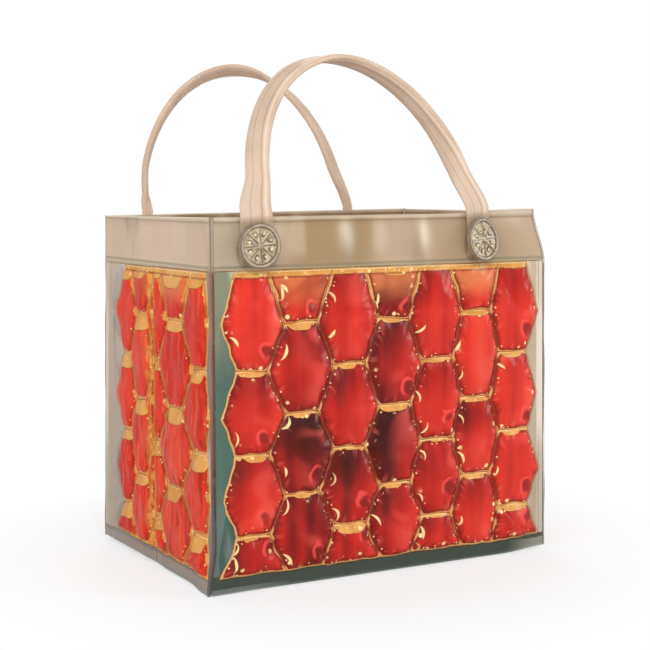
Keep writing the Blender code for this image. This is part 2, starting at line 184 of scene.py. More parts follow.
class Wire:
    """A socket that takes Python's operators: each adds a Math node to its material."""

    def __init__(self, finish, socket):
        self.finish = finish
        self.socket = socket

    __add__ = __radd__ = operation("ADD")
    __sub__ = operation("SUBTRACT")
    __rsub__ = operation("SUBTRACT", turned=True)
    __mul__ = __rmul__ = operation("MULTIPLY")
    __truediv__ = operation("DIVIDE")
    __pow__ = operation("POWER")
    least = operation("MINIMUM")
    most = operation("MAXIMUM")
    turn = operation("ARCTAN2")

    def alone(self, name):
        return self.finish.node("ShaderNodeMath", {"operation": name}, {0: self})

    def size(self):
        return self.alone("ABSOLUTE")

    def reach(self, other):
        """Length of the line whose two legs are this value and the other."""
        return (self * self + other * other).alone("SQRT")

    def lot(self, factor):
        """A value from 0 to 1 that looks drawn by lot from this one."""
        return (self * factor).alone("FRACT")

    def ramp(self, low, high):
        """0 below low and 1 above high, with an even S between; low over high turns it round."""
        return self.finish.node("ShaderNodeMapRange", {"interpolation_type": "SMOOTHSTEP"},
                                {0: self, 1: low, 2: high, 3: 0.0, 4: 1.0})


def solid(tint):
    """A colour for a socket: a tuple is a screen colour, and the rest is used as it is."""
    if isinstance(tint, Wire):
        return tint
    return (*(screen(*tint) if isinstance(tint, tuple) else tuple(tint)[:3]), 1)


class Finish:
    """A material or world being made: node() adds any node, and its outputs take Python's operators."""

    def __init__(self, owner):
        owner.use_nodes = True
        self.tree = owner.node_tree
        self.tree.nodes.clear()

    def node(self, kind, settings=None, sockets=None, output=0):
        made = self.tree.nodes.new(kind)
        for name, value in (settings or {}).items():
            if name == "stops":
                self.set_stops(made.color_ramp, value)
            else:
                setattr(made, name, value)
        for name, value in (sockets or {}).items():
            if isinstance(value, Wire):
                self.tree.links.new(value.socket, made.inputs[name])
            else:
                made.inputs[name].default_value = value
        return Wire(self, made.outputs[output])

    @staticmethod
    def set_stops(ramp, stops):
        while len(ramp.elements) < len(stops):
            ramp.elements.new(0.5)
        for element, (place, tint) in zip(ramp.elements, stops):
            element.position = place
            element.color = solid(tint)

    def mix(self, share, first, second):
        """A colour between two; share is 0 for the first and 1 for the second."""
        sockets = {0: share, 6: solid(first), 7: solid(second)}
        return self.node("ShaderNodeMix", {"data_type": "RGBA"}, sockets, 2)

    def coats(self, ground, *coats):
        """The ground under coats laid one over the other, each a mask and its colour."""
        for mask, tint in coats:
            ground = self.mix(mask, ground, tint)
        return ground

    def value(self, name, output="Fac"):
        return self.node("ShaderNodeAttribute", {"attribute_name": name}, output=output)

    def parts(self, vector, axes="XYZ"):
        return [self.node("ShaderNodeSeparateXYZ", sockets={0: vector}, output=axis) for axis in axes]

    def place(self):
        return self.node("ShaderNodeTexCoord", output="Object")

    def clouds(self, vector, scale, detail=2.0, roughness=0.5, distortion=0.0, upright=None):
        """Soft noise; upright is the share of its scale that it keeps up the bag, for tall streaks."""
        if upright:
            vector = self.node("ShaderNodeMapping", sockets={"Vector": vector, "Scale": (1.0, 1.0, upright)})
        return self.node("ShaderNodeTexNoise", sockets={"Vector": vector, "Scale": scale, "Detail": detail,
                                                        "Roughness": roughness, "Distortion": distortion})

    def bump(self, height, strength, millimetres):
        return self.node("ShaderNodeBump", sockets={"Strength": strength, "Distance": millimetres * MM,
                                                    "Height": height})

    def shader(self, **sockets):
        named = {name.replace("_", " "): value for name, value in sockets.items()}
        return self.node("ShaderNodeBsdfPrincipled", sockets=named)

    def done(self, surface, output="ShaderNodeOutputMaterial"):
        self.tree.links.new(surface.socket, self.tree.nodes.new(output).inputs["Surface"])


def material_named(name, maker, *values):
    """The material of that name; its maker draws it on first use."""
    found = bpy.data.materials.get(name)
    if not found:
        found = bpy.data.materials.new(name)
        finish = Finish(found)
        finish.done(maker(finish, *values))
    return found


class Cell:
    """What a point of the gel knows about its cell, in millimetres, and the noises that its coats share."""

    def __init__(self, finish, shine):
        place = finish.place()
        self.finish = finish
        self.place = place
        self.shine = shine
        self.weld = finish.value("weld")
        self.rise = finish.value("rise")
        self.across, self.drop, self.luck = finish.parts(finish.value("cell", "Vector"))
        self.x, self.y, self.z = (part / MM for part in finish.parts(place))
        self.broad = finish.clouds(place, 42.0, 1.0, 0.5, 0.6)
        self.fine = finish.clouds(place, 260.0, 3.0, 0.6, 0.8)
        self.bands = finish.clouds(place, 130.0, 1.0, 0.4, 0.3, upright=0.07)
        self.tall = finish.clouds(place, 330.0, 2.0, 0.5, 0.6, upright=0.12)
        self.corner = self.drop.least(self.rise).least((self.drop - self.rise).size() / 2.0)
        self.amber = (self.corner.ramp(4.5, 1.5).most(self.z.ramp(136.0, 150.0))
                      .most(self.x.size().ramp(74.0, 84.0) * (0.4 + 0.6 * shine)))

    def pleats(self):
        """Noise that runs round the cell, so that it pleats the gel square to the welds."""
        angle = (self.drop - self.rise).turn(self.across * 2.0)
        ring = self.finish.node("ShaderNodeCombineXYZ", sockets={
            0: angle.alone("COSINE") * 5.0, 1: angle.alone("SINE") * 5.0, 2: self.luck * 40.0})
        return self.finish.clouds(ring, 1.0, 2.0, 0.55)

    def dent_shading(self):
        """Painted shade in a hollow near the cell's lower right corner, and a painted highlight in a crescent
        round it.
        """
        warp = self.finish.clouds(self.finish.place(), 120.0, 1.0) - 0.5
        x = self.across - 5.6 - self.luck.lot(19.7) * 3.2 + warp * 5.0
        y = self.rise - 7.0 - self.luck.lot(29.3) * 9.0 - warp * 5.0
        radius = self.luck.lot(39.1) * 1.6 + 3.2
        away = x.reach(y)
        # Painted shade inside the hollow, and a painted highlight in the crescent.
        inside = (away - radius).ramp(0.4, -2.2) * self.weld.ramp(0.8, 2.0)
        side = ((y * 0.5 - x) / (away + 0.1)).ramp(-0.2, 0.7)
        ring = (away - radius - 0.4).size().ramp(1.5, 0.2) * side * self.weld.ramp(0.6, 1.6)
        there = self.luck.lot(83.1).ramp(0.25, 0.3) * self.shine
        return ((inside * there * 0.65, bpy.context.scene.cooler_colours.gel_deep_and_shade),
                (ring * there * 0.75, (240, 84, 74)))

    def head_air(self, amber_width):
        """Mask of the air that stands under the head weld: one wide pocket and a row of round ones."""
        grade = self.luck.lot(17.3) * 0.75 + 0.25
        reach = grade * 6.5 + 2.0 + 2.6 * amber_width
        depth = grade * (self.luck.lot(31.7) * 3.6 + 1.2) + (2.4 + 1.4 * self.luck.lot(21.1)) * amber_width
        sway = (self.luck.lot(43.1) - 0.5) * 7.0 * (1.0 - grade)
        span = ((self.across - sway) / reach) ** 4.0 + (self.drop / depth) ** 2.0
        pocket = (span + (self.fine - 0.5) * 0.5).ramp(1.25, 0.85)
        row = self.across / 3.1 + self.luck * 9.0
        number = row.alone("FLOOR")
        radius = (number * 12.99 + self.luck * 78.2).alone("SINE").lot(43.7) * 1.6 + 0.1
        offset = (row - number - 0.5) * 3.1
        away = (offset ** 2.0 + (self.drop - radius * 0.7) ** 2.0).alone("SQRT")
        return pocket.most((away - radius).ramp(0.3, -0.2))

    def beads(self, scale, radius, rarity):
        """Mask of the air beads that cling along the welds."""
        dots = {"Vector": self.place, "Scale": scale}
        near = self.finish.node("ShaderNodeTexVoronoi", sockets=dots)
        tint = self.finish.node("ShaderNodeTexVoronoi", sockets=dots, output="Color")
        drawn = self.finish.parts(tint, "X")[0]
        away = 250.0 / scale
        return (near.ramp(radius + 0.06, radius - 0.03) * self.weld.ramp(0.3 + 0.4 * away, 0.5 + 0.5 * away)
                * self.weld.ramp(2.6 + 2 * away, 1.6 + away) * drawn.ramp(rarity, rarity + 0.05))

    def highlight_curls(self, drop, luck):
        """Mask of short curled painted highlights near the cell's left side, where the film puckers."""
        bend = luck.lot(71.3) * 6.0 + 3.0
        lean = (luck.lot(13.9) - 0.4) * 1.8
        level = luck.lot(57.7) * 15.0 + 6.0
        x = (self.across + 12.6 - (level - 22.0).size() * 0.22 - luck.lot(23.9) * 1.5
             + bend * lean.alone("COSINE"))
        y = level - drop + bend * lean.alone("SINE")
        along = (y.turn(x) - lean) * bend / (luck.lot(37.1) * 2.4 + 2.6)
        width = (1.0 - along * along) * (luck.lot(47.7) * 0.4 + 0.45)
        return (((x.reach(y) - bend).size() - width).ramp(0.16, -0.16) * self.weld.ramp(0.6, 1.2)
                * luck.lot(91.7).ramp(0.3, 0.34))


def gel_finish(finish, amber_width, shine):
    """Red gel: amber where it is pressed thin, air under each head weld, upright bands in the full cells."""
    colours = bpy.context.scene.cooler_colours
    cell = Cell(finish, shine)
    weld, drop, luck, z = cell.weld, cell.drop, cell.luck, cell.z
    broad, fine, tall, amber = cell.broad, cell.fine, cell.tall, cell.amber
    under = luck.lot(53.1).ramp(0.35, 0.6) * drop.ramp(30.0, 4.0)
    # The per-point value carries the walls' painted shade; on the wide walls each cell is also painted lighter
    # towards its right side, as painted light.
    level = (finish.value("tone") + (cell.bands - 0.5) * (0.25 + 0.3 * shine) + (broad - 0.5) * 0.3
             + (cell.across * 0.007 - under * 0.26 + 0.1) * shine)
    stops = ((0.0, (60, 14, 8)), (0.25, colours.gel_deep_and_shade), (0.52, colours.gel), (0.82, colours.gel_bright),
             (1.0, (228, 78, 58)))
    red = finish.node("ShaderNodeValToRGB", {"stops": stops}, {"Fac": level})
    haze = (z.ramp(139.0, 153.0) * (drop + cell.rise).ramp(34.0, 30.0) * (broad.ramp(0.35, 0.6) * 0.5 + 0.4)
            * (luck.lot(61.3) * 0.4 + 0.6))
    pleat = cell.pleats()
    near = weld.ramp(6.5, 1.5) * weld.ramp(0.6, 1.4) * shine
    # Painted shade in upright creases low on the gusset's cells.
    streaks = tall.ramp(0.54, 0.64) * z.ramp(110.0, 60.0) * weld.ramp(1.0, 2.5) * (1.0 - shine)
    red = finish.coats(
        red,
        # Painted sheen: a soft pink highlight over the right half of the front cells.
        (broad.ramp(0.5, 0.68) * cell.across.ramp(-8.0, 8.0) * weld.ramp(1.5, 5.0) * (0.45 * shine),
         (240, 92, 78)),
        # Painted shade and highlight of a hollow near the lower right corner.
        *cell.dent_shading(),
        (haze, (222, 128, 78)),
        # Painted shade and painted highlight along the pleats by the welds, which the bump also follows.
        (pleat.ramp(0.53, 0.66) * near * 0.5, (96, 16, 14)),
        (pleat.ramp(0.44, 0.34) * near * 0.35, (242, 118, 96)),
        # Painted shade of the gusset's creases.
        (streaks * 0.6, (132, 40, 22)),
        (tall.ramp(0.46, 0.36) * weld.ramp(1.0, 2.5) * (0.5 - 0.5 * shine), (238, 112, 60)))
    rough = (fine - 0.5) * (1.2 + amber_width)
    wide = amber * (0.35 + amber_width) + (broad - 0.5) * (0.8 * amber_width)
    shadow = (weld - amber * 0.3 + (fine - 0.5)).ramp(1.9, 1.1) * broad.ramp(0.42, 0.6)
    line = (weld - amber * 0.3 + (fine - 0.5) * 0.5).ramp(0.7, 0.4)
    slant = finish.mix(shine, (204, 122, 58), (186, 82, 48))
    red = finish.coats(
        red,
        # Painted shade along the welds, where the gel falls away to them.
        ((weld + rough).ramp(3.2, 0.8) * (0.64 - 0.08 * amber_width), colours.gel_deep_and_shade),
        ((weld + rough - wide).ramp(0.5, -0.1) * amber, colours.amber),
        (shadow * (0.35 + 0.15 * shine), (112, 30, 18)),
        (line * (0.45 + 0.55 * amber), finish.mix(amber, slant, colours.weld)),
        (weld.ramp(0.3, 0.1) * fine.ramp(0.35, 0.5) * 0.8, (116, 56, 24)),
        (cell.y.size().ramp(10.0, 2.0) * tall.ramp(0.44, 0.52),
         finish.mix(fine.ramp(0.4, 0.6), colours.amber, (206, 116, 52))))
    pocket = cell.head_air(amber_width)
    strip = (z + (fine - 0.5) * 1.2).ramp(157.7, 158.5)
    air = finish.coats(colours.amber, (fine.ramp(0.35, 0.7), colours.weld),
                       (cell.bands.ramp(0.35, 0.6) * 0.4, (190, 118, 48)))
    beads = cell.beads(420.0, 0.2, 0.5)
    blobs = cell.beads(190.0, 0.22, 0.62) * cell.corner.ramp(9.0, 5.0)
    # Curled painted highlights on the front cells, which also raise the bump.
    glint_curl = cell.highlight_curls(drop, luck).most(cell.highlight_curls(cell.rise, luck.lot(7.7))) * shine
    red = finish.coats(
        red,
        (pocket.ramp(0.0, 0.4) * 0.6, (120, 52, 20)),
        (pocket.ramp(0.35, 0.6).most(strip), air),
        (drop.ramp(0.25, 0.45) * drop.ramp(0.95, 0.7) * cell.corner.ramp(1.0, 0.5), (248, 212, 148)),
        (z.ramp(156.7, 157.2) * z.ramp(158.1, 157.6) * 0.6, (126, 56, 26)),
        # Pale air beads, and curled painted highlights.
        (beads.most(blobs).most(glint_curl), (250, 220, 156)))
    ripple = cell.bands * 0.4 + pleat * near * 0.5 + fine * 0.1 + beads * 0.4 + pocket * 0.3 + glint_curl * 0.4
    return finish.shader(Base_Color=red, Roughness=0.4, Specular_IOR_Level=0.06, Coat_Weight=0.7 * shine,
                         Coat_IOR=1.28, Coat_Roughness=0.12, Normal=finish.bump(ripple, 0.5, 1.5))


def film_finish(finish, near, far, foot, alpha, reach):
    """Clear glossy film: unseen over the gel, tinted where it lies alone in the margins."""
    place = finish.place()
    x, y, z = finish.parts(place)
    side = finish.value("side")
    streak = finish.clouds(place, 60.0, 3.0, 0.5, 0.6, upright=0.16)
    turn = ((x * reach[0] + y * reach[1]) / MM + (streak - 0.5) * 50).ramp(-80.0, 50.0)
    x, z = x / MM, z / MM
    # Facets of folded film by the near corner, where painted highlights go.
    facet_glint = side - 1.0 - ((z / 47.0 + 0.15).alone("FRACT") - 0.5).size() * 9.0 + (streak - 0.5) * 5.0
    low = z + (streak - 0.5) * 3
    right_end = x.ramp(76.0, 98.0)
    left_end = x.ramp(-50.0, -85.0)
    tint = finish.coats(
        finish.mix(turn, near, far),
        (z.ramp(60.0, 20.0) * (1.0 - turn) * 0.7, (48, 78, 72)),
        (z.ramp(100.0, 154.0) * (1.0 - turn), (186, 194, 160)),
        # Painted highlights along the film's wrinkles, over their bump.
        (streak.ramp(0.52, 0.72) * 0.5, (230, 222, 204)),
        (streak.ramp(0.46, 0.32) * (0.55 - 0.3 * turn), (60, 76, 72)),
        (side.ramp(4.4, 3.8) * 0.7 * turn, (232, 216, 198)),
        (side.ramp(3.2, 3.0) * side.ramp(2.3, 2.6) * 0.5 * turn, (110, 106, 98)),
        (z.ramp(120.0, 40.0) * turn * 0.35, (150, 140, 118)),
        # Painted highlight: a pale upright band along the far edge of a wall.
        (side.ramp(4.6, 3.4) * z.ramp(50.0, 75.0) * z.ramp(150.0, 125.0) * turn * 0.7, (250, 238, 224)),
        # Painted highlights on pale facets low by the near corner.
        (facet_glint.ramp(0.5, -0.5) * z.ramp(60.0, 35.0) * (0.25 - 0.25 * turn), (158, 164, 160)),
        (low.ramp(7.9, 7.1), finish.mix(0.35, foot, (92, 74, 40))),
        (low.ramp(5.6, 4.6), finish.mix(right_end * 0.7, foot, (164, 160, 148))),
        (z.ramp(1.3, 0.7) * left_end * 0.5, (136, 142, 138)))
    return finish.shader(Base_Color=tint, Roughness=0.2, IOR=1.35, Alpha=finish.value("bare") * alpha,
                         Normal=finish.bump(streak, 0.35, 1.5))


# Glares on the header band: how far each lies along the wall, in millimetres, and its strength
HEADER_GLARES = ((-25.0, 0.9), (-2.0, 0.3), (23.0, 0.8), (-62.0, 0.3), (66.0, 0.35))


def header_finish(finish, light, shade, grey):
    """Clear header band: soft upright streaks over a warm grey, with a pale hem and a drawn weld."""
    place = finish.place()
    x, z = (part / MM for part in finish.parts(place, "XZ"))
    streak = finish.clouds(place, 24.0, 1.0, 0.45, 0.3, upright=0.1)
    narrow = finish.clouds(place, 46.0, 1.0, 0.4, 0.5, upright=0.3)
    glares = []
    for middle, strength in HEADER_GLARES:
        beside = (x - middle + (z - 176.0) * 0.08 + (narrow - 0.5) * 8.0) / 4.0
        glare = (beside ** 2.0 + ((z - 178.0) / 9.0) ** 2.0) * -1.0
        glares.append((glare.alone("EXPONENT") * strength, (238, 222, 196)))
    tint = finish.coats(
        finish.mix(streak.ramp(0.2, 0.75), shade, light),
        (x.ramp(-64.0, -86.0) * 0.6, grey),
        (((x + 46.0) / 9.0).size().ramp(1.6, 0.2) * 0.6, (160, 132, 88)),
        *glares,
        # Painted highlights in narrow upright bands across the band's upper part.
        (narrow.ramp(0.58, 0.72) * z.ramp(164.0, 172.0) * 0.3, (228, 210, 184)),
        (narrow.ramp(0.4, 0.28) * 0.4, (146, 132, 104)),
        (z.ramp(186.0, 187.0) * 0.5, (214, 202, 182)),
        (z.ramp(184.7, 185.1) * z.ramp(186.2, 185.7) * 0.4, (126, 110, 84)),
        (z.ramp(164.0, 163.4) * z.ramp(162.0, 162.6) * 0.6, (132, 122, 96)),
        (z.ramp(162.4, 161.6) * 0.6, (176, 172, 132)))
    return finish.shader(Base_Color=tint, Roughness=0.36, IOR=1.3, Alpha=0.95,
                         Normal=finish.bump(streak * 0.7 + narrow * 0.5, 0.6, 2.5))


def seam_finish(finish):
    """Welded corner: it takes the tints of the films beside it, with a thin dark line down its outer edge."""
    place = finish.place()
    z = finish.parts(place, "Z")[0] / MM
    mottle = finish.clouds(place, 90.0, 2.0, 0.5, upright=0.2)
    turn = finish.value("turn")
    band = z.ramp(158.0, 163.0)
    line = (turn - 0.5 + (mottle - 0.5) * 0.3).size().ramp(0.17, 0.04)
    gel_side = turn.ramp(0.48, 0.36) * z.ramp(50.0, 80.0) * (1.0 - band)
    tint = finish.coats(
        finish.mix(band, (140, 128, 112), (196, 176, 150)),
        (z.ramp(90.0, 25.0) * 0.8, (104, 104, 108)),
        (mottle.ramp(0.5, 0.7) * 0.4, (196, 198, 190)),
        (line * (0.5 + 0.3 * band), (92, 76, 62)),
        (gel_side * 0.25, finish.mix(mottle.ramp(0.4, 0.6), (150, 58, 40), (206, 72, 48))))
    clear = (line * 0.85).most(band * 0.4 + 0.1 + z.ramp(80.0, 20.0) * turn.ramp(0.65, 0.5) * 0.6)
    return finish.shader(Base_Color=tint, Roughness=0.4, Specular_IOR_Level=0.1,
                         Alpha=clear.most(gel_side * 0.8))


def plain_film_finish(finish, tint, alpha):
    """Clear film without gel, a little mottled."""
    mottle = finish.clouds(finish.place(), 70.0, 3.0, 0.5)
    shade = finish.mix(mottle.ramp(0.35, 0.7) * 0.35, tint, (226, 222, 210))
    return finish.shader(Base_Color=shade, Roughness=0.14, IOR=1.35, Alpha=alpha,
                         Normal=finish.bump(mottle, 0.25, 1.0))


def strap_finish(finish):
    """Clear strap: warm and pale, with darker ribs, painted shade along its edges where they turn from view, a
    painted highlight line and a faint painted glow; its feet take the header's tint.
    """
    colours = bpy.context.scene.cooler_colours
    rib = finish.value("rib")
    foot = finish.value("foot")
    facing = finish.node("ShaderNodeLayerWeight", sockets={"Blend": 0.3}, output="Facing")
    # Painted shade: the strap darkens towards its edges as they turn from view.
    edge = facing.ramp(0.6, 0.86)
    line = (rib - 0.15).size().ramp(0.035, 0.01).most((rib + 0.2).size().ramp(0.03, 0.01) * 0.7)
    tint = finish.coats(
        colours.strap,
        (finish.clouds(finish.place(), 50.0, 1.0, 0.5).ramp(0.35, 0.65) * 0.6, (214, 190, 168)),
        # Painted highlight: a pale line along the strap.
        ((rib - 0.3).size().ramp(0.1, 0.0) * 0.5, (240, 222, 204)),
        (foot, (188, 168, 138)),
        # Dark rib lines, and the painted shade at the edges.
        ((line * 0.7).most(edge) * 0.75, colours.strap_lines_and_edge_shade))
    # Painted light: a faint glow in a pale strap colour lifts the strap's shaded side.
    return finish.shader(Base_Color=tint, Roughness=0.45, Specular_IOR_Level=0.04,
                         Alpha=1.0 - foot * (0.6 - 0.45 * edge), Emission_Color=solid((208, 184, 160)),
                         Emission_Strength=0.14)


def moulding_finish(finish, tint, line, spokes):
    """Clear moulding: its rim, spokes and pips stand out as dark and bright lines; the bright ones beside the
    spokes and in the pips are painted highlights, and a dark crescent round each pip is painted shade.
    """
    across, upward = finish.parts(finish.value("spot", "Vector"), "XY")
    mottle = finish.clouds(finish.place(), 420.0, 3.0, 0.6)
    away = across.reach(upward)
    step = math.tau / spokes
    turn = upward.turn(across) * (spokes / math.tau) - 0.1
    near = turn - (turn + 0.5).alone("FLOOR")
    gap = near * away * step + (mottle - 0.5) * 0.3
    field = away.ramp(9.0, 8.4) * away.ramp(0.9, 1.6)
    spoke = gap.size().ramp(0.42, 0.16) * field
    glint = (gap - 0.55).size().ramp(0.3, 0.05) * field
    pip_x = away - 6.3
    pip_y = (turn - turn.alone("FLOOR") - 0.5) * away * step
    pip = (pip_x * pip_x * 0.5 + pip_y * pip_y).alone("SQRT")
    # Painted shade: a dark crescent round one side of each pip.
    pip_shade = (pip - 0.95).size().ramp(0.42, 0.15) * (pip_x * 0.6 + pip_y).ramp(0.7, -0.2)
    rings = (away - 9.3).size().ramp(0.45, 0.1).most((away - 11.1).size().ramp(0.6, 0.1) * 0.9)
    tint = finish.coats(
        tint,
        (mottle.ramp(0.44, 0.62) * 0.6, (232, 220, 186)),
        ((away.ramp(9.2, 9.6) * 0.45).most(mottle.ramp(0.5, 0.36) * 0.6), (128, 114, 104)),
        # Painted highlights beside the spokes and inside the pips.
        (glint.most(pip.ramp(0.6, 0.2)) * 0.7, (246, 236, 204)),
        (spoke.most(pip_shade).most(rings) * 0.85, line))
    return finish.shader(Base_Color=tint, Roughness=0.2, IOR=1.4, Alpha=0.96,
                         Normal=finish.bump(mottle, 0.3, 0.4))


def floor_finish(finish):
    """Near-white floor that keeps the bag's shadow."""
    camera = finish.node("ShaderNodeLightPath", output="Is Camera Ray")
    x, y = finish.parts(finish.place(), "XY")
    pale = finish.shader(Base_Color=(0.92, 0.92, 0.92, 1), Roughness=0.9)
    white = finish.node("ShaderNodeEmission", sockets={"Color": (1, 1, 1, 1), "Strength": 1.0})
    blank = camera * (x.reach(y).ramp(0.1, 0.24) * 0.35 + 0.65)
    return finish.node("ShaderNodeMixShader", sockets={0: blank, 1: pale, 2: white})


def studio_light(finish):
    """Soft light from all round, seen as plain white by the camera, in gloss and through clear film."""
    camera, gloss, through = (finish.node("ShaderNodeLightPath", output=f"Is {ray} Ray")
                              for ray in ("Camera", "Glossy", "Transmission"))
    dim = finish.node("ShaderNodeBackground", sockets={"Color": (0.97, 0.98, 1.0, 1), "Strength": 0.4})
    white = finish.node("ShaderNodeBackground", sockets={"Color": (1, 1, 1, 1)})
    return finish.node("ShaderNodeMixShader", sockets={0: camera.most(gloss).most(through), 1: dim, 2: white})


# Drift of the soft bag's corners from the even box, in millimetres: at the foot, then at the rim
CORNER_DRIFT = {
    (-1, -1): ((0.6, 0.0, 0), (1.0, -0.4, 0)),
    (-1, 1): ((-1.9, 1.0, 0), (1.4, -0.6, -1.3)),
    (1, -1): ((3.0, 2.0, 0), (0.4, 0.4, 0)),
    (1, 1): ((0.6, 0.6, 0), (0.3, 0.3, 0)),
}
RIM_LEAN = Vector((-2.4, 7.0, 1.6)) * MM
RIM_FOOT = 161 * MM
BUTTON_LEVEL = 174 * MM
BUTTON_TURN = 0.3
FOOT_FLARE = Vector((-1.0, -0.35, 0))


def settled(point):
    """Where a point of the even bag lies on the soft one, as photographed."""
    sizes = bpy.context.scene.cooler_walls
    straps = bpy.context.scene.cooler_straps
    height = max(0, min(1, point.z / HEIGHT))
    moved = point.copy()
    for (side_x, side_y), (foot, rim) in CORNER_DRIFT.items():
        share_x = max(0, min(1, 0.5 + side_x * point.x / HALF_WIDTH / 2))
        share_y = max(0, min(1, 0.5 + side_y * point.y / HALF_DEPTH / 2))
        moved += Vector(foot).lerp(Vector(rim), height) * MM * share_x * share_y
    # A gusset's crease stays in its place, so that the fold's pivot holds it
    crease = (smooth(abs(point.x), HALF_WIDTH - 14 * MM, HALF_WIDTH - 6 * MM)
              * smooth(abs(point.y), 16 * MM, 1 * MM))
    outward = max(0.0, (moved.x - point.x) * math.copysign(1, point.x))
    moved.x -= math.copysign(outward, point.x) * crease
    moved.y += (point.y - moved.y) * crease
    # The rim leans in at the front's right end, and the button there is turned
    front = smooth(point.y, 0, -HALF_DEPTH)
    moved += RIM_LEAN * (smooth(point.z, RIM_FOOT, HEIGHT) * smooth(point.x, 30 * MM, HALF_WIDTH) * front)
    away = point.x - straps.front_shift - straps.span / 2
    moved.y += BUTTON_TURN * away * hump(away, 13 * MM) * hump(point.z - BUTTON_LEVEL, 18 * MM) * front
    # The near corner's foot spreads, and the front's foot sags
    flare = (smooth(point.z, 24 * MM, 0) * smooth(-point.x, HALF_WIDTH - 30 * MM, HALF_WIDTH)
             * smooth(-point.y, HALF_DEPTH - 30 * MM, HALF_DEPTH))
    moved += FOOT_FLARE * sizes.corner_flare * flare
    sag = smooth(HALF_WIDTH - point.x, 0, 30 * MM) * smooth(point.y, 50 * MM, -60 * MM)
    sag += 0.35 * hump(point.y + 60 * MM, 9 * MM) * smooth(-point.x, 90 * MM, 100 * MM)
    moved.z -= sizes.foot_sag * sag * smooth(point.z, 35 * MM, 0)
    return moved


def add_piece(name, shape, finish, body, replaced):
    """Turn a bmesh in the frame's coordinates into a piece that rides on a body."""
    for vert in shape.verts:
        vert.co = settled(vert.co)
    shape.normal_update()
    for face in shape.faces:
        face.smooth = True
    for edge in shape.edges:
        edge.smooth = edge.calc_face_angle(0) < math.radians(50)
    mesh = bpy.data.meshes.new(name)
    shape.to_mesh(mesh)
    shape.free()
    mesh.materials.append(finish)
    piece = bpy.data.objects.new(name, mesh)
    bpy.context.collection.objects.link(piece)
    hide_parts(*replaced)
    if body:
        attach(piece, body)
    return piece


def picked(items, kind):
    return [item for item in items if isinstance(item, kind)]


def drawn_out(shape, face, way):
    """Extrude a face along a vector, closed at both ends."""
    grown = bmesh.ops.extrude_face_region(shape, geom=[face])["geom"]
    bmesh.ops.translate(shape, verts=picked(grown, bmesh.types.BMVert), vec=way)


def divided(shape, axis, shortest, cuts):
    """Cut every edge that runs further than the shortest along an axis."""
    chosen = [edge for edge in shape.edges if abs(edge.verts[0].co[axis] - edge.verts[1].co[axis]) > shortest]
    bmesh.ops.subdivide_edges(shape, edges=chosen, cuts=cuts, use_grid_fill=True)


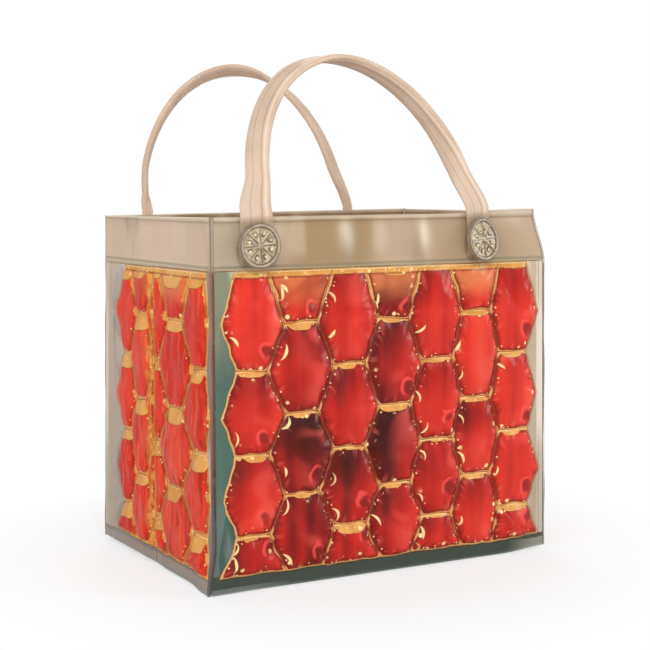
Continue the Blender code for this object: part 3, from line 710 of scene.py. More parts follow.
class Wall:
    """A wall or half wall: u runs along it, v up it, and n out of it from the inner film."""

    def __init__(self, name, body, along, outward, columns):
        low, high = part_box(name + "_inner_film")
        self.name = name
        self.body = body
        self.wide = body in ("front_wall", "back_wall")
        self.columns = columns
        self.start, self.end = sorted((along.dot(low), along.dot(high)))
        self.reach = max(abs(self.start), abs(self.end))
        self.foot = low.z
        self.top = high.z
        self.seed = len(name) * 0.37 + along.x
        origin = outward * min(outward.dot(low), outward.dot(high))
        turn = Matrix((along, UP, outward)).transposed()
        self.frame = Matrix.Translation(origin) @ turn.to_4x4()

    def corner(self, place, level, side):
        """An end of a column's level weld, as (u, v); past the last column it is the outer tip."""
        sizes = bpy.context.scene.cooler_walls
        if 0 <= place < len(self.columns):
            middle, flat = self.columns[place]
            u = middle + side * flat / 2
        else:
            u = self.columns[0 if place < 0 else -1][0] - side * (sizes.column_pitch - sizes.flat_width / 2)
        v = sizes.levels[level]
        stray = noise.noise_vector(Vector((u * 61, v * 61, self.seed * 9)))
        u += stray.x * sizes.wander
        if 0 < level < len(sizes.levels) - 1:
            v += stray.y * sizes.wander
        limit = self.reach - 0.5 * MM
        return max(-limit, min(limit, u)), v

    def tone(self, middle, u, v):
        """How bright the gel is, with painted shade: dull over the middle left of a wide wall, most in each
        second column.
        """
        if not self.wide:
            return 0.87
        pitch = bpy.context.scene.cooler_walls.column_pitch
        place = round((middle - self.columns[0][0]) / pitch)
        # Painted shade over the middle left, deepest in each second column.
        shade = hump(u + 23 * MM, 40 * MM) * (1.45 if place % 2 else 0.45)
        return 0.71 - shade * (0.22 + 0.22 * hump(v - 76 * MM, 36 * MM))

    def cells(self):
        """The outline of each gel cell, anticlockwise as seen from outside."""
        last = len(bpy.context.scene.cooler_walls.levels) - 1
        found = []
        for place in range(len(self.columns)):
            flats = list(range(place % 2, last + 1, 2))
            bounds = ([0] if flats[0] else []) + flats + ([last] if flats[-1] != last else [])
            for upper, lower in zip(bounds, bounds[1:]):
                left = (place - 1, upper + 1, 1)
                right = (place + 1, upper + 1, -1)
                head = [(place, upper, 1), (place, upper, -1)]
                foot = [(place, lower, -1), (place, lower, 1)]
                if lower - upper == 2:
                    ring = head + [left] + foot + [right]
                elif upper in flats:
                    ring = head + [left, right]
                else:
                    ring = [(place + 1, upper, -1), (place - 1, upper, 1)] + foot
                found.append([self.corner(*corner) for corner in ring])
        return found

    def margins(self):
        """Quads of plain film between the net and the wall's edges."""
        sizes = bpy.context.scene.cooler_walls
        last = len(sizes.levels) - 1
        count = len(self.columns)
        low = -self.reach
        high = self.reach
        found = []
        for edge, outer, end, side in ((low, -1, 0, -1), (high, count, count - 1, 1)):
            outline = [self.corner(outer, level, -side) if level % 2 else self.corner(end, level, side)
                       for level in range(last + 1)]
            for upper, lower in zip(outline, outline[1:]):
                ring = [upper, (edge, upper[1]), (edge, lower[1]), lower]
                found.append(ring if side < 0 else ring[::-1])
        for level, rim in ((0, self.top), (last, self.foot)):
            points = [self.corner(place, level, side)
                      for place in range(level % 2, count, 2) for side in (-1, 1)]
            if level % 2:
                points = [self.corner(-1, level, 1)] + points + [self.corner(count, level, -1)]
            points = [(low, sizes.levels[level])] + points + [(high, sizes.levels[level])]
            for left, right in zip(points, points[1:]):
                ring = [left, right, (right[0], rim), (left[0], rim)]
                found.append(ring if level == 0 else ring[::-1])
        return found

    def net(self, with_margins):
        """The wall's outline as flat faces that share corners: cells, and margins where asked."""
        shape = bmesh.new()
        cell = shape.faces.layers.int.new("cell")
        outlines = [(ring, 1) for ring in self.cells()]
        if with_margins:
            outlines += [(ring, 0) for ring in self.margins()]
        for ring, kind in outlines:
            face = shape.faces.new([shape.verts.new((u, v, 0)) for u, v in ring])
            face[cell] = kind
        bmesh.ops.remove_doubles(shape, verts=shape.verts, dist=0.02 * MM)
        for edge, side in ((self.start, -1), (self.end, 1)):
            bmesh.ops.bisect_plane(shape, geom=shape.verts[:] + shape.edges[:] + shape.faces[:],
                                   dist=0.001 * MM, plane_co=(edge, 0, 0), plane_no=(side, 0, 0),
                                   clear_outer=True)
        return shape, cell

    def lift(self, vert, share):
        """How far the outside stands up at a point; by a gusset's crease it leaves room for the fold."""
        full = share * bpy.context.scene.cooler_walls.swell
        if self.wide:
            return full
        return max(0.0, min(full, abs(vert.co.x) * math.tan(math.radians(30)) - 0.3 * MM))


def all_walls():
    sizes = bpy.context.scene.cooler_walls
    wide = [(place * sizes.column_pitch + sizes.column_sway * (1 - (place / 3) ** 2), sizes.flat_width)
            for place in range(-3, 4)]
    side = list(zip(sizes.side_columns, sizes.side_flats))
    mirrored = [(-middle, flat) for middle, flat in reversed(side)]
    x_axis = Vector((1, 0, 0))
    y_axis = Vector((0, 1, 0))
    return [
        Wall("front", "front_wall", x_axis, -y_axis, wide),
        Wall("back", "back_wall", -x_axis, y_axis, wide),
        Wall("left_front", "left_gusset_front", -y_axis, -x_axis, side),
        Wall("left_back", "left_gusset_back", -y_axis, -x_axis, side),
        Wall("right_front", "right_gusset_front", y_axis, x_axis, mirrored),
        Wall("right_back", "right_gusset_back", y_axis, x_axis, mirrored),
    ]


def split_edges(shape, pace):
    """Put points along each edge, no further apart than the pace."""
    groups = {}
    for edge in shape.edges:
        groups.setdefault(int(edge.calc_length() / pace), []).append(edge)
    for cuts, edges in groups.items():
        if cuts:
            bmesh.ops.bisect_edges(shape, edges=edges, cuts=cuts)


# Makes the net's corners stray the same way in every run
NET_SEED = 7
# Rings drawn into a cell: near ones at millimetres from the weld, far ones at a share of the way left
NEAR_RINGS = (0.4, 0.8, 1.3, 2.0)
FAR_RINGS = (0.14, 0.3, 0.48, 0.68, 0.88)


def ring_cell(shape, face, weld, rise, cell_place, luck):
    """Draw a flat cell in, ring by ring, and note on each point where it is in the cell."""
    outline = [vert.co.copy() for vert in face.verts]
    count = len(outline)
    centre = face.calc_center_median_weighted()
    head = max(point.y for point in outline)
    foot = min(point.y for point in outline)
    shares = []
    for index, point in enumerate(outline):
        before = face.normal.cross(point - outline[index - 1]).normalized()
        after = face.normal.cross(outline[(index + 1) % count] - point).normalized()
        toward = centre - point
        shares.append((toward, max(1.0 * MM, min(toward.dot(before), toward.dot(after)))))
    depth = math.sqrt(face.calc_area() / math.pi)

    def note(vert, away, across):
        vert[weld] = away / MM
        vert[rise] = (vert.co.y - foot) / MM
        vert[cell_place] = (across / MM, (head - vert.co.y) / MM, luck)

    for vert in face.verts:
        note(vert, 0, vert.co.x - centre.x)
    for ring in range(len(NEAR_RINGS) + len(FAR_RINGS)):
        bmesh.ops.inset_individual(shape, faces=[face], thickness=0)
        for vert, point, (toward, step) in zip(face.verts, outline, shares):
            share = min(0.6, NEAR_RINGS[min(ring, len(NEAR_RINGS) - 1)] * MM / step)
            if ring >= len(NEAR_RINGS):
                share += (1 - share) * FAR_RINGS[ring - len(NEAR_RINGS)]
            vert.co = point + toward * share
            note(vert, min(share * step, depth), vert.co.x - centre.x)
    for vert in bmesh.ops.poke(shape, faces=[face])["verts"]:
        note(vert, min(step for toward, step in shares), 0)


def quilt(wall, with_margins):
    """A flat quilted sheet whose points know their distance from the weld, in millimetres."""
    sizes = bpy.context.scene.cooler_walls
    shape, cell = wall.net(with_margins)
    weld, rise, side, tone = (shape.verts.layers.float.new(name) for name in ("weld", "rise", "side", "tone"))
    cell_place = shape.verts.layers.float_vector.new("cell")
    bare = shape.loops.layers.float.new("bare")
    split_edges(shape, sizes.pace)
    for face in shape.faces:
        for loop in face.loops:
            loop[bare] = 0 if face[cell] else 1
    for vert in shape.verts:
        inside = smooth(min(vert.co.x - wall.start, wall.end - vert.co.x), 0, 6 * MM)
        inside *= smooth(min(vert.co.y, wall.top - vert.co.y), 0, 4 * MM)
        bow = noise.noise_vector(Vector((vert.co.x, vert.co.y, wall.seed)) / (7 * MM)) * sizes.bow
        vert.co += Vector((bow.x, bow.y, 0)) * inside
    for face in [face for face in shape.faces if face[cell]]:
        face.normal_update()
        middle = face.calc_center_median_weighted()
        luck = noise.cell(Vector((middle.x * 97, middle.y * 89, wall.seed * 5)))
        ring_cell(shape, face, weld, rise, cell_place, luck)
    spread = 0.13 if wall.wide else 0.1
    for vert in shape.verts:
        vert[side] = (wall.reach - abs(vert.co.x)) / MM
        across, drop, luck = vert[cell_place]
        # Per point: the wall's painted shade, plus a share that differs at random from cell to cell.
        vert[tone] = wall.tone(vert.co.x - across * MM, vert.co.x, vert.co.y) + (luck - 0.5) * spread
    return shape, weld, cell_place


def dome(wall, vert, weld, cell_place):
    """Share of the full swell at a point: steep by the weld, dented and puckered above it."""
    sizes = bpy.context.scene.cooler_walls
    away = vert[weld]
    if away <= 0:
        return 0.0
    across, drop, luck = vert[cell_place]
    rise = math.sin(min(1.0, away * MM / sizes.swell_width) * math.pi / 2) ** 0.75
    spot = Vector((vert.co.x, vert.co.y, wall.seed)) / MM
    dents = noise.noise(spot / 12) * 0.34 + noise.noise(spot / 5) * 0.13
    turn = math.atan2(drop - 21, across)
    pucker = noise.noise(Vector((math.cos(turn) * 5, math.sin(turn) * 5, luck * 40)))
    return rise * (0.8 + dents) + pucker * 0.22 * hump(away - 2.6, 2.2)


# Heights of the layers over the inner film's inside, along a weld
INNER_FILM = 0.45 * MM
GEL_BACK = 0.9 * MM
GEL_FRONT = 1.25 * MM
OUTER_FILM = 1.6 * MM


def add_gel(wall, finish):
    """The gel of one wall: pillows on both sides, thin along the welds."""
    sizes = bpy.context.scene.cooler_walls
    shape, weld, cell_place = quilt(wall, False)
    copied = bmesh.ops.duplicate(shape, geom=shape.verts[:] + shape.edges[:] + shape.faces[:])["geom"]
    behind = set(picked(copied, bmesh.types.BMVert))
    for vert in shape.verts:
        share = dome(wall, vert, weld, cell_place)
        if vert in behind:
            vert.co.z = GEL_BACK - share * sizes.inside_swell
        else:
            vert.co.z = GEL_FRONT + wall.lift(vert, share)
    bmesh.ops.reverse_faces(shape, faces=picked(copied, bmesh.types.BMFace))
    bmesh.ops.bridge_loops(shape, edges=[edge for edge in shape.edges if edge.is_boundary])
    shape.transform(wall.frame)
    bmesh.ops.recalc_face_normals(shape, faces=shape.faces)
    piece = add_piece(wall.name + "_gel_pillows", shape, finish, wall.body, [wall.name + "_gel"])


def add_wall_film(wall, side, finish):
    """The outer or inner film of one wall, lying on the gel."""
    sizes = bpy.context.scene.cooler_walls
    shape, weld, cell_place = quilt(wall, True)
    for vert in shape.verts:
        share = dome(wall, vert, weld, cell_place)
        if side == "outer":
            vert.co.z = OUTER_FILM + wall.lift(vert, share)
        else:
            vert.co.z = INNER_FILM - share * sizes.inside_swell
    if side == "inner":
        bmesh.ops.reverse_faces(shape, faces=shape.faces[:])
    shape.transform(wall.frame)
    add_piece(f"{wall.name}_{side}_skin", shape, finish, wall.body,
              [f"{wall.name}_{side}_film"])


def header_profile(span):
    """The band's cross-section as (n, v) in millimetres: a weld ridge, a long thin sheet and a rolled hem."""
    steps = [2.1 + (span - 5.2) * step / 8 for step in range(1, 9)]
    outside = [(1.45, 0), (1.7, 0.3), (1.7, 1.7), (1.35, 2.1)] + [(1.32, v) for v in steps]
    hem = [(1.75, span - 2.6), (1.9, span - 1.6), (1.75, span - 0.4), (1.1, span), (0.3, span - 0.4),
           (0.1, span - 1.6), (0.3, span - 2.6)]
    return outside + hem + [(0.5, v) for v in steps[::-1]] + [(0.45, 2.1), (0.2, 1.7), (0.2, 0.3), (0.45, 0)]


def add_header(wall, finish):
    """Clear band over the cells, with its weld ridge, its rolled hem and a slack wave."""
    low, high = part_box(wall.name + "_header")
    foot = low.z
    top = high.z
    start, end = (0 if abs(edge) < 2 * MM else edge for edge in (wall.start, wall.end))
    shape = bmesh.new()
    profile = header_profile((top - foot) / MM)
    face = shape.faces.new([shape.verts.new((start, foot + v * MM, n * MM)) for n, v in profile])
    drawn_out(shape, face, (end - start, 0, 0))
    divided(shape, 0, 1 * MM, max(8, int((end - start) / (3 * MM))))
    for vert in shape.verts:
        u, v = vert.co.x, vert.co.y
        middle = math.sin(math.pi * smooth(v, foot, top))
        ends = smooth(min(u - start, end - u), 0, 12 * MM)
        wave = noise.noise(Vector((u * 38, v * 22, wall.seed * 3)))
        vert.co.z += wave * 1.6 * MM * ends * (0.35 + 0.65 * middle)
    shape.transform(wall.frame)
    bmesh.ops.recalc_face_normals(shape, faces=shape.faces)
    add_piece(wall.name + "_header_band", shape, finish, wall.body, [wall.name + "_header"])


def add_corner_strip(name, finish):
    """Welded corner: a slim strip, its outer edge rounded, drawn up from the foot to the rim."""
    low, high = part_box(name)
    side_x = 1 if low.x > 0 else -1
    side_y = 1 if low.y > 0 else -1
    inner = Vector((low.x if side_x > 0 else high.x, low.y if side_y > 0 else high.y, low.z))
    reach = high.x - low.x
    outline = [Vector((0, 0, 0))]
    for step in range(9):
        turn = math.radians(90) * step / 8
        outline.append(Vector((side_x * math.cos(turn), side_y * math.sin(turn), 0)) * reach)
    shape = bmesh.new()
    turn = shape.verts.layers.float.new("turn")
    face = shape.faces.new([shape.verts.new(inner + point) for point in outline])
    for number, vert in enumerate(face.verts):
        vert[turn] = (number - 1) / 8
    drawn_out(shape, face, (0, 0, high.z - low.z))
    divided(shape, 2, 10 * MM, 60)
    for vert in shape.verts:
        wave = noise.noise(Vector((side_x, side_y, vert.co.z * 45))) * 0.35 * MM
        vert.co += Vector((side_x, side_y, 0)) * wave * smooth(vert.co.z, 0, 5 * MM)
    bmesh.ops.recalc_face_normals(shape, faces=shape.faces)
    body = "front_wall" if side_y < 0 else "back_wall"
    add_piece(name + "_strip", shape, finish, body, [name])


def add_slab(name, node, body, finish, ripple):
    """A thin film over a node's own box, finely divided and a little slack."""
    low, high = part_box(node)
    shape = bmesh.new()
    bmesh.ops.create_cube(shape, size=1)
    shape.transform(Matrix.Translation((low + high) / 2) @ Matrix.Diagonal((*(high - low), 1)))
    for axis in range(3):
        if high[axis] - low[axis] > 5 * MM:
            divided(shape, axis, 5 * MM, int((high[axis] - low[axis]) / (4 * MM)))
    for vert in shape.verts:
        vert.co.z += abs(noise.noise(vert.co * 35)) * ripple
    bmesh.ops.recalc_face_normals(shape, faces=shape.faces)
    add_piece(name, shape, finish, body, [node])


class StrapLie(NamedTuple):
    """How a handle's free strap lies in the photograph. Angles are in degrees, lengths in metres."""

    node: str
    lean: float       # How far the arch leans towards the back
    twist: int        # The way in which the strap turns as it rises: -1 or 1
    quick: float      # Share of the rise over which the pressed foot becomes the free strap
    slack: float      # How far the right half is slack, and so lies further left
    pinch: float      # Width that a foot is pinched to above its button, or 0
    turns: tuple      # Shares of a quarter turn that the left and the right half are twisted by
    pivot: float      # Lean of the line about which the strap is twisted
    drift: float      # How far the crown lies to the right
    squeeze: float    # Share by which the arch is narrower than its feet lie apart


FRONT_LIE = StrapLie("front", lean=28, twist=-1, quick=0.7, slack=0, pinch=0, turns=(0.4, 0.75), pivot=8,
                     drift=0, squeeze=0.06)
BACK_LIE = StrapLie("back", lean=22, twist=1, quick=0.16, slack=2.2 * MM, pinch=6.5 * MM, turns=(0.8, 0.35),
                    pivot=26, drift=7 * MM, squeeze=0)
ARCH_STEPS = 84
STRAP_SIDES = 32
# The pressed foot's rings, by their distance below the bend, and where its end begins, in millimetres
FOOT_DROPS = (2, 5, 8, 11, 14, 17, 20, 22.5, 24.2)
FOOT_END = 15.8


def tilted(degrees):
    return Vector((0, math.sin(math.radians(degrees)), math.cos(math.radians(degrees))))


def strap_outline(width, thickness):
    """A flattened tube's outline: two lobes with a shallow waist between them."""
    points = []
    for step in range(STRAP_SIDES):
        turn = math.tau * step / STRAP_SIDES
        across = math.cos(turn)
        lobe = math.copysign(abs(math.sin(turn)) ** 0.7, math.sin(turn))
        waist = 1 - 0.22 * hump(across, 0.28)
        points.append((across * width / 2, lobe * waist * thickness / 2))
    return points


def strap_stations(lie, axis):
    """Places along a strap, each as middle, width direction, thickness direction, width and thickness."""
    sizes = bpy.context.scene.cooler_straps
    up = tilted(lie.lean)
    left_turn, right_turn = lie.turns

    def pinched(width, share):
        return width - (width - lie.pinch) * share if lie.pinch else width

    stations = []
    for number in range(ARCH_STEPS + 1):
        turn = math.pi * number / ARCH_STEPS
        across = -sizes.span / 2 * math.cos(turn)
        rise = sizes.rise * math.sin(turn)
        free = smooth(rise, 0, sizes.foot_length * lie.quick)
        width = pinched(sizes.foot_width + (sizes.width - sizes.foot_width) * free,
                        smooth(rise, 18 * MM, 2 * MM))
        thick = sizes.foot_thickness + (sizes.thickness - sizes.foot_thickness) * free
        tangent = Vector((math.sin(turn) * sizes.span / 2, 0, 0)) + up * math.cos(turn) * sizes.rise
        tangent.normalize()
        spin = lie.twist * smooth(rise, 0, 0.87 * lie.quick * sizes.rise) * math.radians(90)
        spin *= left_turn + (right_turn - left_turn) * smooth(across, -20 * MM, 30 * MM)
        side = Matrix.Rotation(spin, 3, tilted(lie.pivot)) @ Vector((1, 0, 0))
        side = (side - tangent * side.dot(tangent)).normalized()
        across -= lie.slack * smooth(across, -20 * MM, 45 * MM) * smooth(rise, 0, 25 * MM)
        across += lie.drift * max(0.0, rise / sizes.rise - 0.3) / 0.7
        across *= 1 - lie.squeeze * smooth(rise, 0, 22 * MM)
        stations.append((axis + Vector((across, 0, 0)) + up * rise, side, tangent.cross(side), width, thick))
    ends = []
    for middle, side, thick_way, width, thick in (stations[0], stations[-1]):
        run = []
        for drop in FOOT_DROPS:
            width = pinched(sizes.foot_end if drop > FOOT_END else sizes.foot_width, smooth(drop, 11, 2))
            run.append((Vector((middle.x, axis.y, axis.z - drop * MM)), Vector((1, 0, 0)), thick_way, width,
                        sizes.foot_thickness))
        ends.append(run)
    return ends[0][::-1] + stations + ends[1]


def add_strap(lie, shift, finish):
    """One strap handle, from the end under its left button over the arch to the right one."""
    sizes = bpy.context.scene.cooler_straps
    node = lie.node
    low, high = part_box(f"{node}_left_strap_end")
    axis = Vector((shift, (low.y + high.y) / 2, high.z + 0.3 * MM + sizes.foot_thickness / 2))
    shape = bmesh.new()
    rib = shape.verts.layers.float.new("rib")
    foot = shape.verts.layers.float.new("foot")
    bmesh.ops.create_circle(shape, segments=STRAP_SIDES, radius=1 * MM)
    ring = shape.verts[:]
    edges = shape.edges[:]
    for number, (middle, side, thick, width, thickness) in enumerate(strap_stations(lie, axis)):
        if number:
            grown = bmesh.ops.extrude_edge_only(shape, edges=edges)["geom"]
            edges = picked(grown, bmesh.types.BMEdge)
            partner = {}
            for vert in picked(grown, bmesh.types.BMVert):
                for edge in vert.link_edges:
                    other = edge.other_vert(vert)
                    if other in ring and (other.co - vert.co).length < 1e-9:
                        partner[other] = vert
            ring = [partner[vert] for vert in ring]
        for vert, (across, deep) in zip(ring, strap_outline(width, thickness)):
            vert.co = middle + side * across + thick * deep
            vert[rib] = across / width
            vert[foot] = smooth(vert.co.z, HEIGHT + 1 * MM, HEIGHT - 4 * MM)
    bmesh.ops.holes_fill(shape, edges=[edge for edge in shape.edges if edge.is_boundary])
    bmesh.ops.recalc_face_normals(shape, faces=shape.faces)
    piece = add_piece(f"{node}_strap", shape, finish, None,
                      [f"{node}_handle_strap", f"{node}_left_strap_end", f"{node}_right_strap_end"])
    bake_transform(piece)


def turned(shape, profile, steps):
    """Spin a profile of (radius, height) in millimetres into a round body on the z axis."""
    verts = [shape.verts.new((radius * MM, 0, height * MM)) for radius, height in profile]
    edges = [shape.edges.new(pair) for pair in zip(verts, verts[1:])]
    bmesh.ops.spin(shape, geom=verts + edges, cent=(0, 0, 0), axis=(0, 0, 1), angle=math.tau, steps=steps,
                   use_merge=True)
    bmesh.ops.remove_doubles(shape, verts=shape.verts, dist=0.01 * MM)


def fitted(shape, verts, turn, middle, size):
    """Stretch a unit shape, move it out and turn it about the z axis, in millimetres."""
    moved = Matrix.Translation(Vector(middle) * MM) @ Matrix.Diagonal((*(Vector(size) * MM), 1))
    bmesh.ops.transform(shape, verts=verts, matrix=Matrix.Rotation(turn, 4, "Z") @ moved)


def button_face(shape, radius):
    """Moulded button on the z axis: a rim, spokes, a hub and a pip between the spokes. In millimetres."""
    spokes = bpy.context.scene.cooler_straps.spokes
    turned(shape, [(0, -3.3), (radius - 0.5, -3.5), (radius, -3.0), (radius, -0.9), (radius - 0.3, -0.3),
                   (radius - 0.9, 0), (radius - 1.6, -0.1), (radius - 2.1, -0.5), (radius - 2.3, -1.1),
                   (4.0, -1.0), (3.0, -0.95), (0, -0.9)], 72)
    inner = radius - 2.0
    for number in range(spokes):
        bar = bmesh.ops.create_cube(shape, size=1)["verts"]
        fitted(shape, bar, math.tau * (number + 0.1) / spokes, (inner / 2, 0, -0.7), (inner, 0.75, 0.9))
        pip = bmesh.ops.create_uvsphere(shape, u_segments=12, v_segments=8, radius=1)["verts"]
        fitted(shape, pip, math.tau * (number + 0.6) / spokes, (inner * 0.66, 0, -0.9), (1.5, 0.95, 0.6))
    hub = bmesh.ops.create_uvsphere(shape, u_segments=20, v_segments=10, radius=1)["verts"]
    fitted(shape, hub, 0, (0, 0, -0.8), (1.7, 1.7, 0.8))


def disc_face(shape, radius):
    """Plain inner disc that takes a button's pin, dished round its middle. In millimetres."""
    turned(shape, [(0, 0), (radius, 0), (radius - 0.2, -0.7), (radius - 0.9, -1.5), (radius * 0.5, -1.3),
                   (radius * 0.35, -1.6), (0, -1.6)], 48)


def add_round(node, suffix, make, finish):
    """A round moulding over a node, its face outwards; each point knows its place in the face."""
    low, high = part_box(node)
    front = low.y < 0
    out = -1 if front else 1
    shape = bmesh.new()
    make(shape, (high.x - low.x) / 2 / MM)
    bmesh.ops.recalc_face_normals(shape, faces=shape.faces)
    spot = shape.verts.layers.float_vector.new("spot")
    for vert in shape.verts:
        vert[spot] = (vert.co.x / MM, vert.co.y / MM, 0)
    turn = Matrix((Vector((-out, 0, 0)), UP, Vector((0, out, 0)))).transposed().to_4x4()
    middle = Vector(((low.x + high.x) / 2, low.y if front else high.y, (low.z + high.z) / 2))
    shape.transform(Matrix.Translation(middle) @ turn)
    add_piece(node + suffix, shape, finish, "front_wall" if front else "back_wall", [node])


class COOLER_OT_gel(bpy.types.Operator):
    """Model the gel pillows of all walls"""

    bl_idname = "cooler.gel"
    bl_label = "Gel pillows"

    def execute(self, context):
        broad = material_named("red_gel_wall", gel_finish, 0.4, 1.0)
        side = material_named("red_gel_gusset", gel_finish, 1.8, 0.15)
        for wall in all_walls():
            add_gel(wall, broad if wall.wide else side)
        return {"FINISHED"}


class COOLER_OT_films(bpy.types.Operator):
    """Model the outer and inner films of all walls"""

    bl_idname = "cooler.films"
    bl_label = "Wall films"

    def execute(self, context):
        colours = context.scene.cooler_colours
        grey, teal, dark = colours.film_grey, colours.film_teal, colours.film_dark
        broad = material_named("wall_film", film_finish, teal, grey, dark, 0.85, (1.0, 0.0))
        side = material_named("gusset_film", film_finish, (206, 182, 160), (206, 182, 160), (166, 152, 138),
                              0.8, (0.0, 1.0))
        inner = material_named("inner_film", film_finish, grey, grey, dark, 0.35, (1.0, 0.0))
        for wall in all_walls():
            add_wall_film(wall, "outer", broad if wall.wide else side)
            add_wall_film(wall, "inner", inner)
        return {"FINISHED"}


class COOLER_OT_headers(bpy.types.Operator):
    """Model the clear header bands"""

    bl_idname = "cooler.headers"
    bl_label = "Header bands"

    def execute(self, context):
        colours = context.scene.cooler_colours
        broad = material_named("wall_header", header_finish, colours.header, colours.header_shade,
                               (196, 184, 164))
        side = material_named("gusset_header", header_finish, colours.header_side, colours.header,
                              (220, 194, 170))
        for wall in all_walls():
            add_header(wall, broad if wall.wide else side)
        return {"FINISHED"}


class COOLER_OT_seams(bpy.types.Operator):
    """Model the welded corners"""

    bl_idname = "cooler.seams"
    bl_label = "Corner seams"

    def execute(self, context):
        finish = material_named("corner_seam", seam_finish)
        for end in ("front", "back"):
            for side in ("left", "right"):
                add_corner_strip(f"{end}_{side}_corner_seam", finish)
        return {"FINISHED"}


class COOLER_OT_base(bpy.types.Operator):
    """Model the base film and its weld flanges"""

    bl_idname = "cooler.base"
    bl_label = "Base"

    def execute(self, context):
        finish = material_named("base_film", plain_film_finish, (158, 164, 152), 0.7)
        for end in ("front", "back"):
            add_slab(f"base_{end}_sheet", f"base_{end}_film", f"base_{end}", finish, 0.4 * MM)
        for end in ("front", "back"):
            add_slab(f"{end}_flange_strip", f"{end}_base_flange", f"{end}_wall", finish, 0)
        return {"FINISHED"}


class COOLER_OT_straps(bpy.types.Operator):
    """Model the two strap handles"""

    bl_idname = "cooler.straps"
    bl_label = "Strap handles"

    def execute(self, context):
        sizes = context.scene.cooler_straps
        finish = material_named("strap_plastic", strap_finish)
        add_strap(FRONT_LIE, sizes.front_shift, finish)
        add_strap(BACK_LIE, sizes.back_shift, finish)
        return {"FINISHED"}


class COOLER_OT_buttons(bpy.types.Operator):
    """Model the moulded buttons and their inner discs"""

    bl_idname = "cooler.buttons"
    bl_label = "Buttons"

    def execute(self, context):
        colours = context.scene.cooler_colours
        finish = material_named("button_plastic", moulding_finish, colours.moulding, colours.moulding_line,
                                context.scene.cooler_straps.spokes)
        for end in ("front", "back"):
            for side in ("left", "right"):
                add_round(f"{end}_{side}_button", "_moulding", button_face, finish)
                add_round(f"{end}_{side}_button_disc", "_seat", disc_face, finish)
        return {"FINISHED"}


# Soft lamps that face the bag: place, strength, and width and height
LAMPS = {
    "key_light": ((-0.42, -1.5, 1.1), 9, (0.13, 0.24)),
    "soft_light": ((-1.3, -0.9, 0.9), 10, (1.0, 1.0)),
    "fill_light": ((1.4, -1.0, 0.7), 9, (0.5, 1.1)),
    "back_light": ((0.3, 1.4, 1.3), 10, (1.0, 0.8)),
}


def add_lamp(name, place, strength, size):
    lamp = bpy.data.lights.new(name, "AREA")
    lamp.energy = strength
    lamp.shape = "RECTANGLE"
    lamp.size, lamp.size_y = size
    made = bpy.data.objects.new(name, lamp)
    made.location = place
    made.rotation_euler = (Vector((0, 0, 0.1)) - Vector(place)).to_track_quat("-Z", "Y").to_euler()
    bpy.context.collection.objects.link(made)


def place_camera(scene):
    stage = scene.cooler_stage
    turn = math.radians(stage.azimuth)
    back = Vector((math.sin(turn) * math.cos(stage.pitch), -math.cos(turn) * math.cos(stage.pitch),
                   math.sin(stage.pitch)))
    level = Vector((math.cos(turn), math.sin(turn), 0))
    rise = back.cross(level)
    spot = Vector((0, 0, HEIGHT / 2)) + level * stage.aside + rise * stage.above + back * stage.distance
    right = level * math.cos(stage.roll) - rise * math.sin(stage.roll)
    upper = level * math.sin(stage.roll) + rise * math.cos(stage.roll)
    camera = bpy.data.cameras.new("camera")
    camera.lens = stage.lens
    camera.sensor_width = 36
    camera.sensor_fit = "HORIZONTAL"
    camera.clip_start = 0.01
    made = bpy.data.objects.new("camera", camera)
    made.matrix_world = Matrix.Translation(spot) @ Matrix((right, upper, back)).transposed().to_4x4()
    scene.collection.objects.link(made)
    scene.camera = made


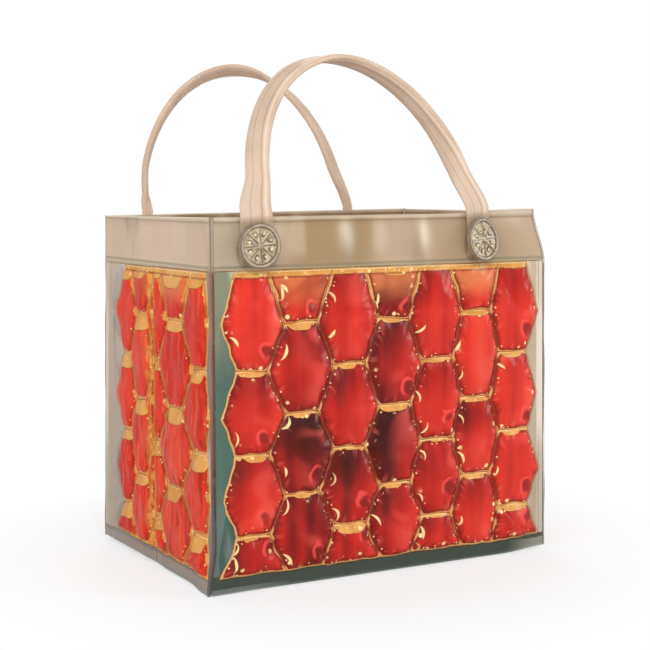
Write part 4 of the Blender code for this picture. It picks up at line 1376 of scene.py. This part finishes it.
class COOLER_OT_stage(bpy.types.Operator):
    """Set up the floor, the soft light and the camera"""

    bl_idname = "cooler.stage"
    bl_label = "Stage"

    def execute(self, context):
        scene = context.scene
        shape = bmesh.new()
        bmesh.ops.create_circle(shape, cap_ends=True, segments=96, radius=3.5)
        mesh = bpy.data.meshes.new("floor")
        shape.to_mesh(mesh)
        shape.free()
        mesh.materials.append(material_named("floor", floor_finish))
        floor = bpy.data.objects.new("floor", mesh)
        floor.location.z = -2.5 * MM
        context.collection.objects.link(floor)
        for name, values in LAMPS.items():
            add_lamp(name, *values)
        scene.world = bpy.data.worlds.new("studio")
        light = Finish(scene.world)
        light.done(studio_light(light), "ShaderNodeOutputWorld")
        scene.view_settings.view_transform = "Standard"
        place_camera(scene)
        return {"FINISHED"}


OPERATORS = (COOLER_OT_gel, COOLER_OT_films, COOLER_OT_headers, COOLER_OT_seams, COOLER_OT_base,
             COOLER_OT_straps, COOLER_OT_buttons, COOLER_OT_stage)
GROUPS = {"cooler_walls": CoolerWallSizes, "cooler_straps": CoolerStrapSizes, "cooler_colours": CoolerColours,
          "cooler_stage": CoolerStage}


class COOLER_PT_panel(bpy.types.Panel):
    """Lists the steps that model the bag, with its sizes and colours"""

    bl_idname = "COOLER_PT_panel"
    bl_label = "Cooler Bag"
    bl_space_type = "VIEW_3D"
    bl_region_type = "UI"
    bl_category = "Cooler Bag"

    def draw(self, context):
        for step in OPERATORS:
            self.layout.operator(step.bl_idname)
        for group in (getattr(context.scene, name) for name in GROUPS):
            box = self.layout.box()
            for name in group.bl_rna.properties.keys():
                if name not in ("rna_type", "name"):
                    box.prop(group, name)


def register():
    for name, group in GROUPS.items():
        bpy.utils.register_class(group)
        setattr(bpy.types.Scene, name, bpy.props.PointerProperty(type=group))
    for step in OPERATORS + (COOLER_PT_panel,):
        bpy.utils.register_class(step)


def unregister():
    for step in reversed(OPERATORS + (COOLER_PT_panel,)):
        bpy.utils.unregister_class(step)
    for name, group in GROUPS.items():
        delattr(bpy.types.Scene, name)
        bpy.utils.unregister_class(group)


def main():
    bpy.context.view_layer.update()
    noise.seed_set(NET_SEED)
    register()
    for step in OPERATORS:
        group, name = step.bl_idname.split(".")
        getattr(getattr(bpy.ops, group), name)()


if __name__ == "__main__":
    main()
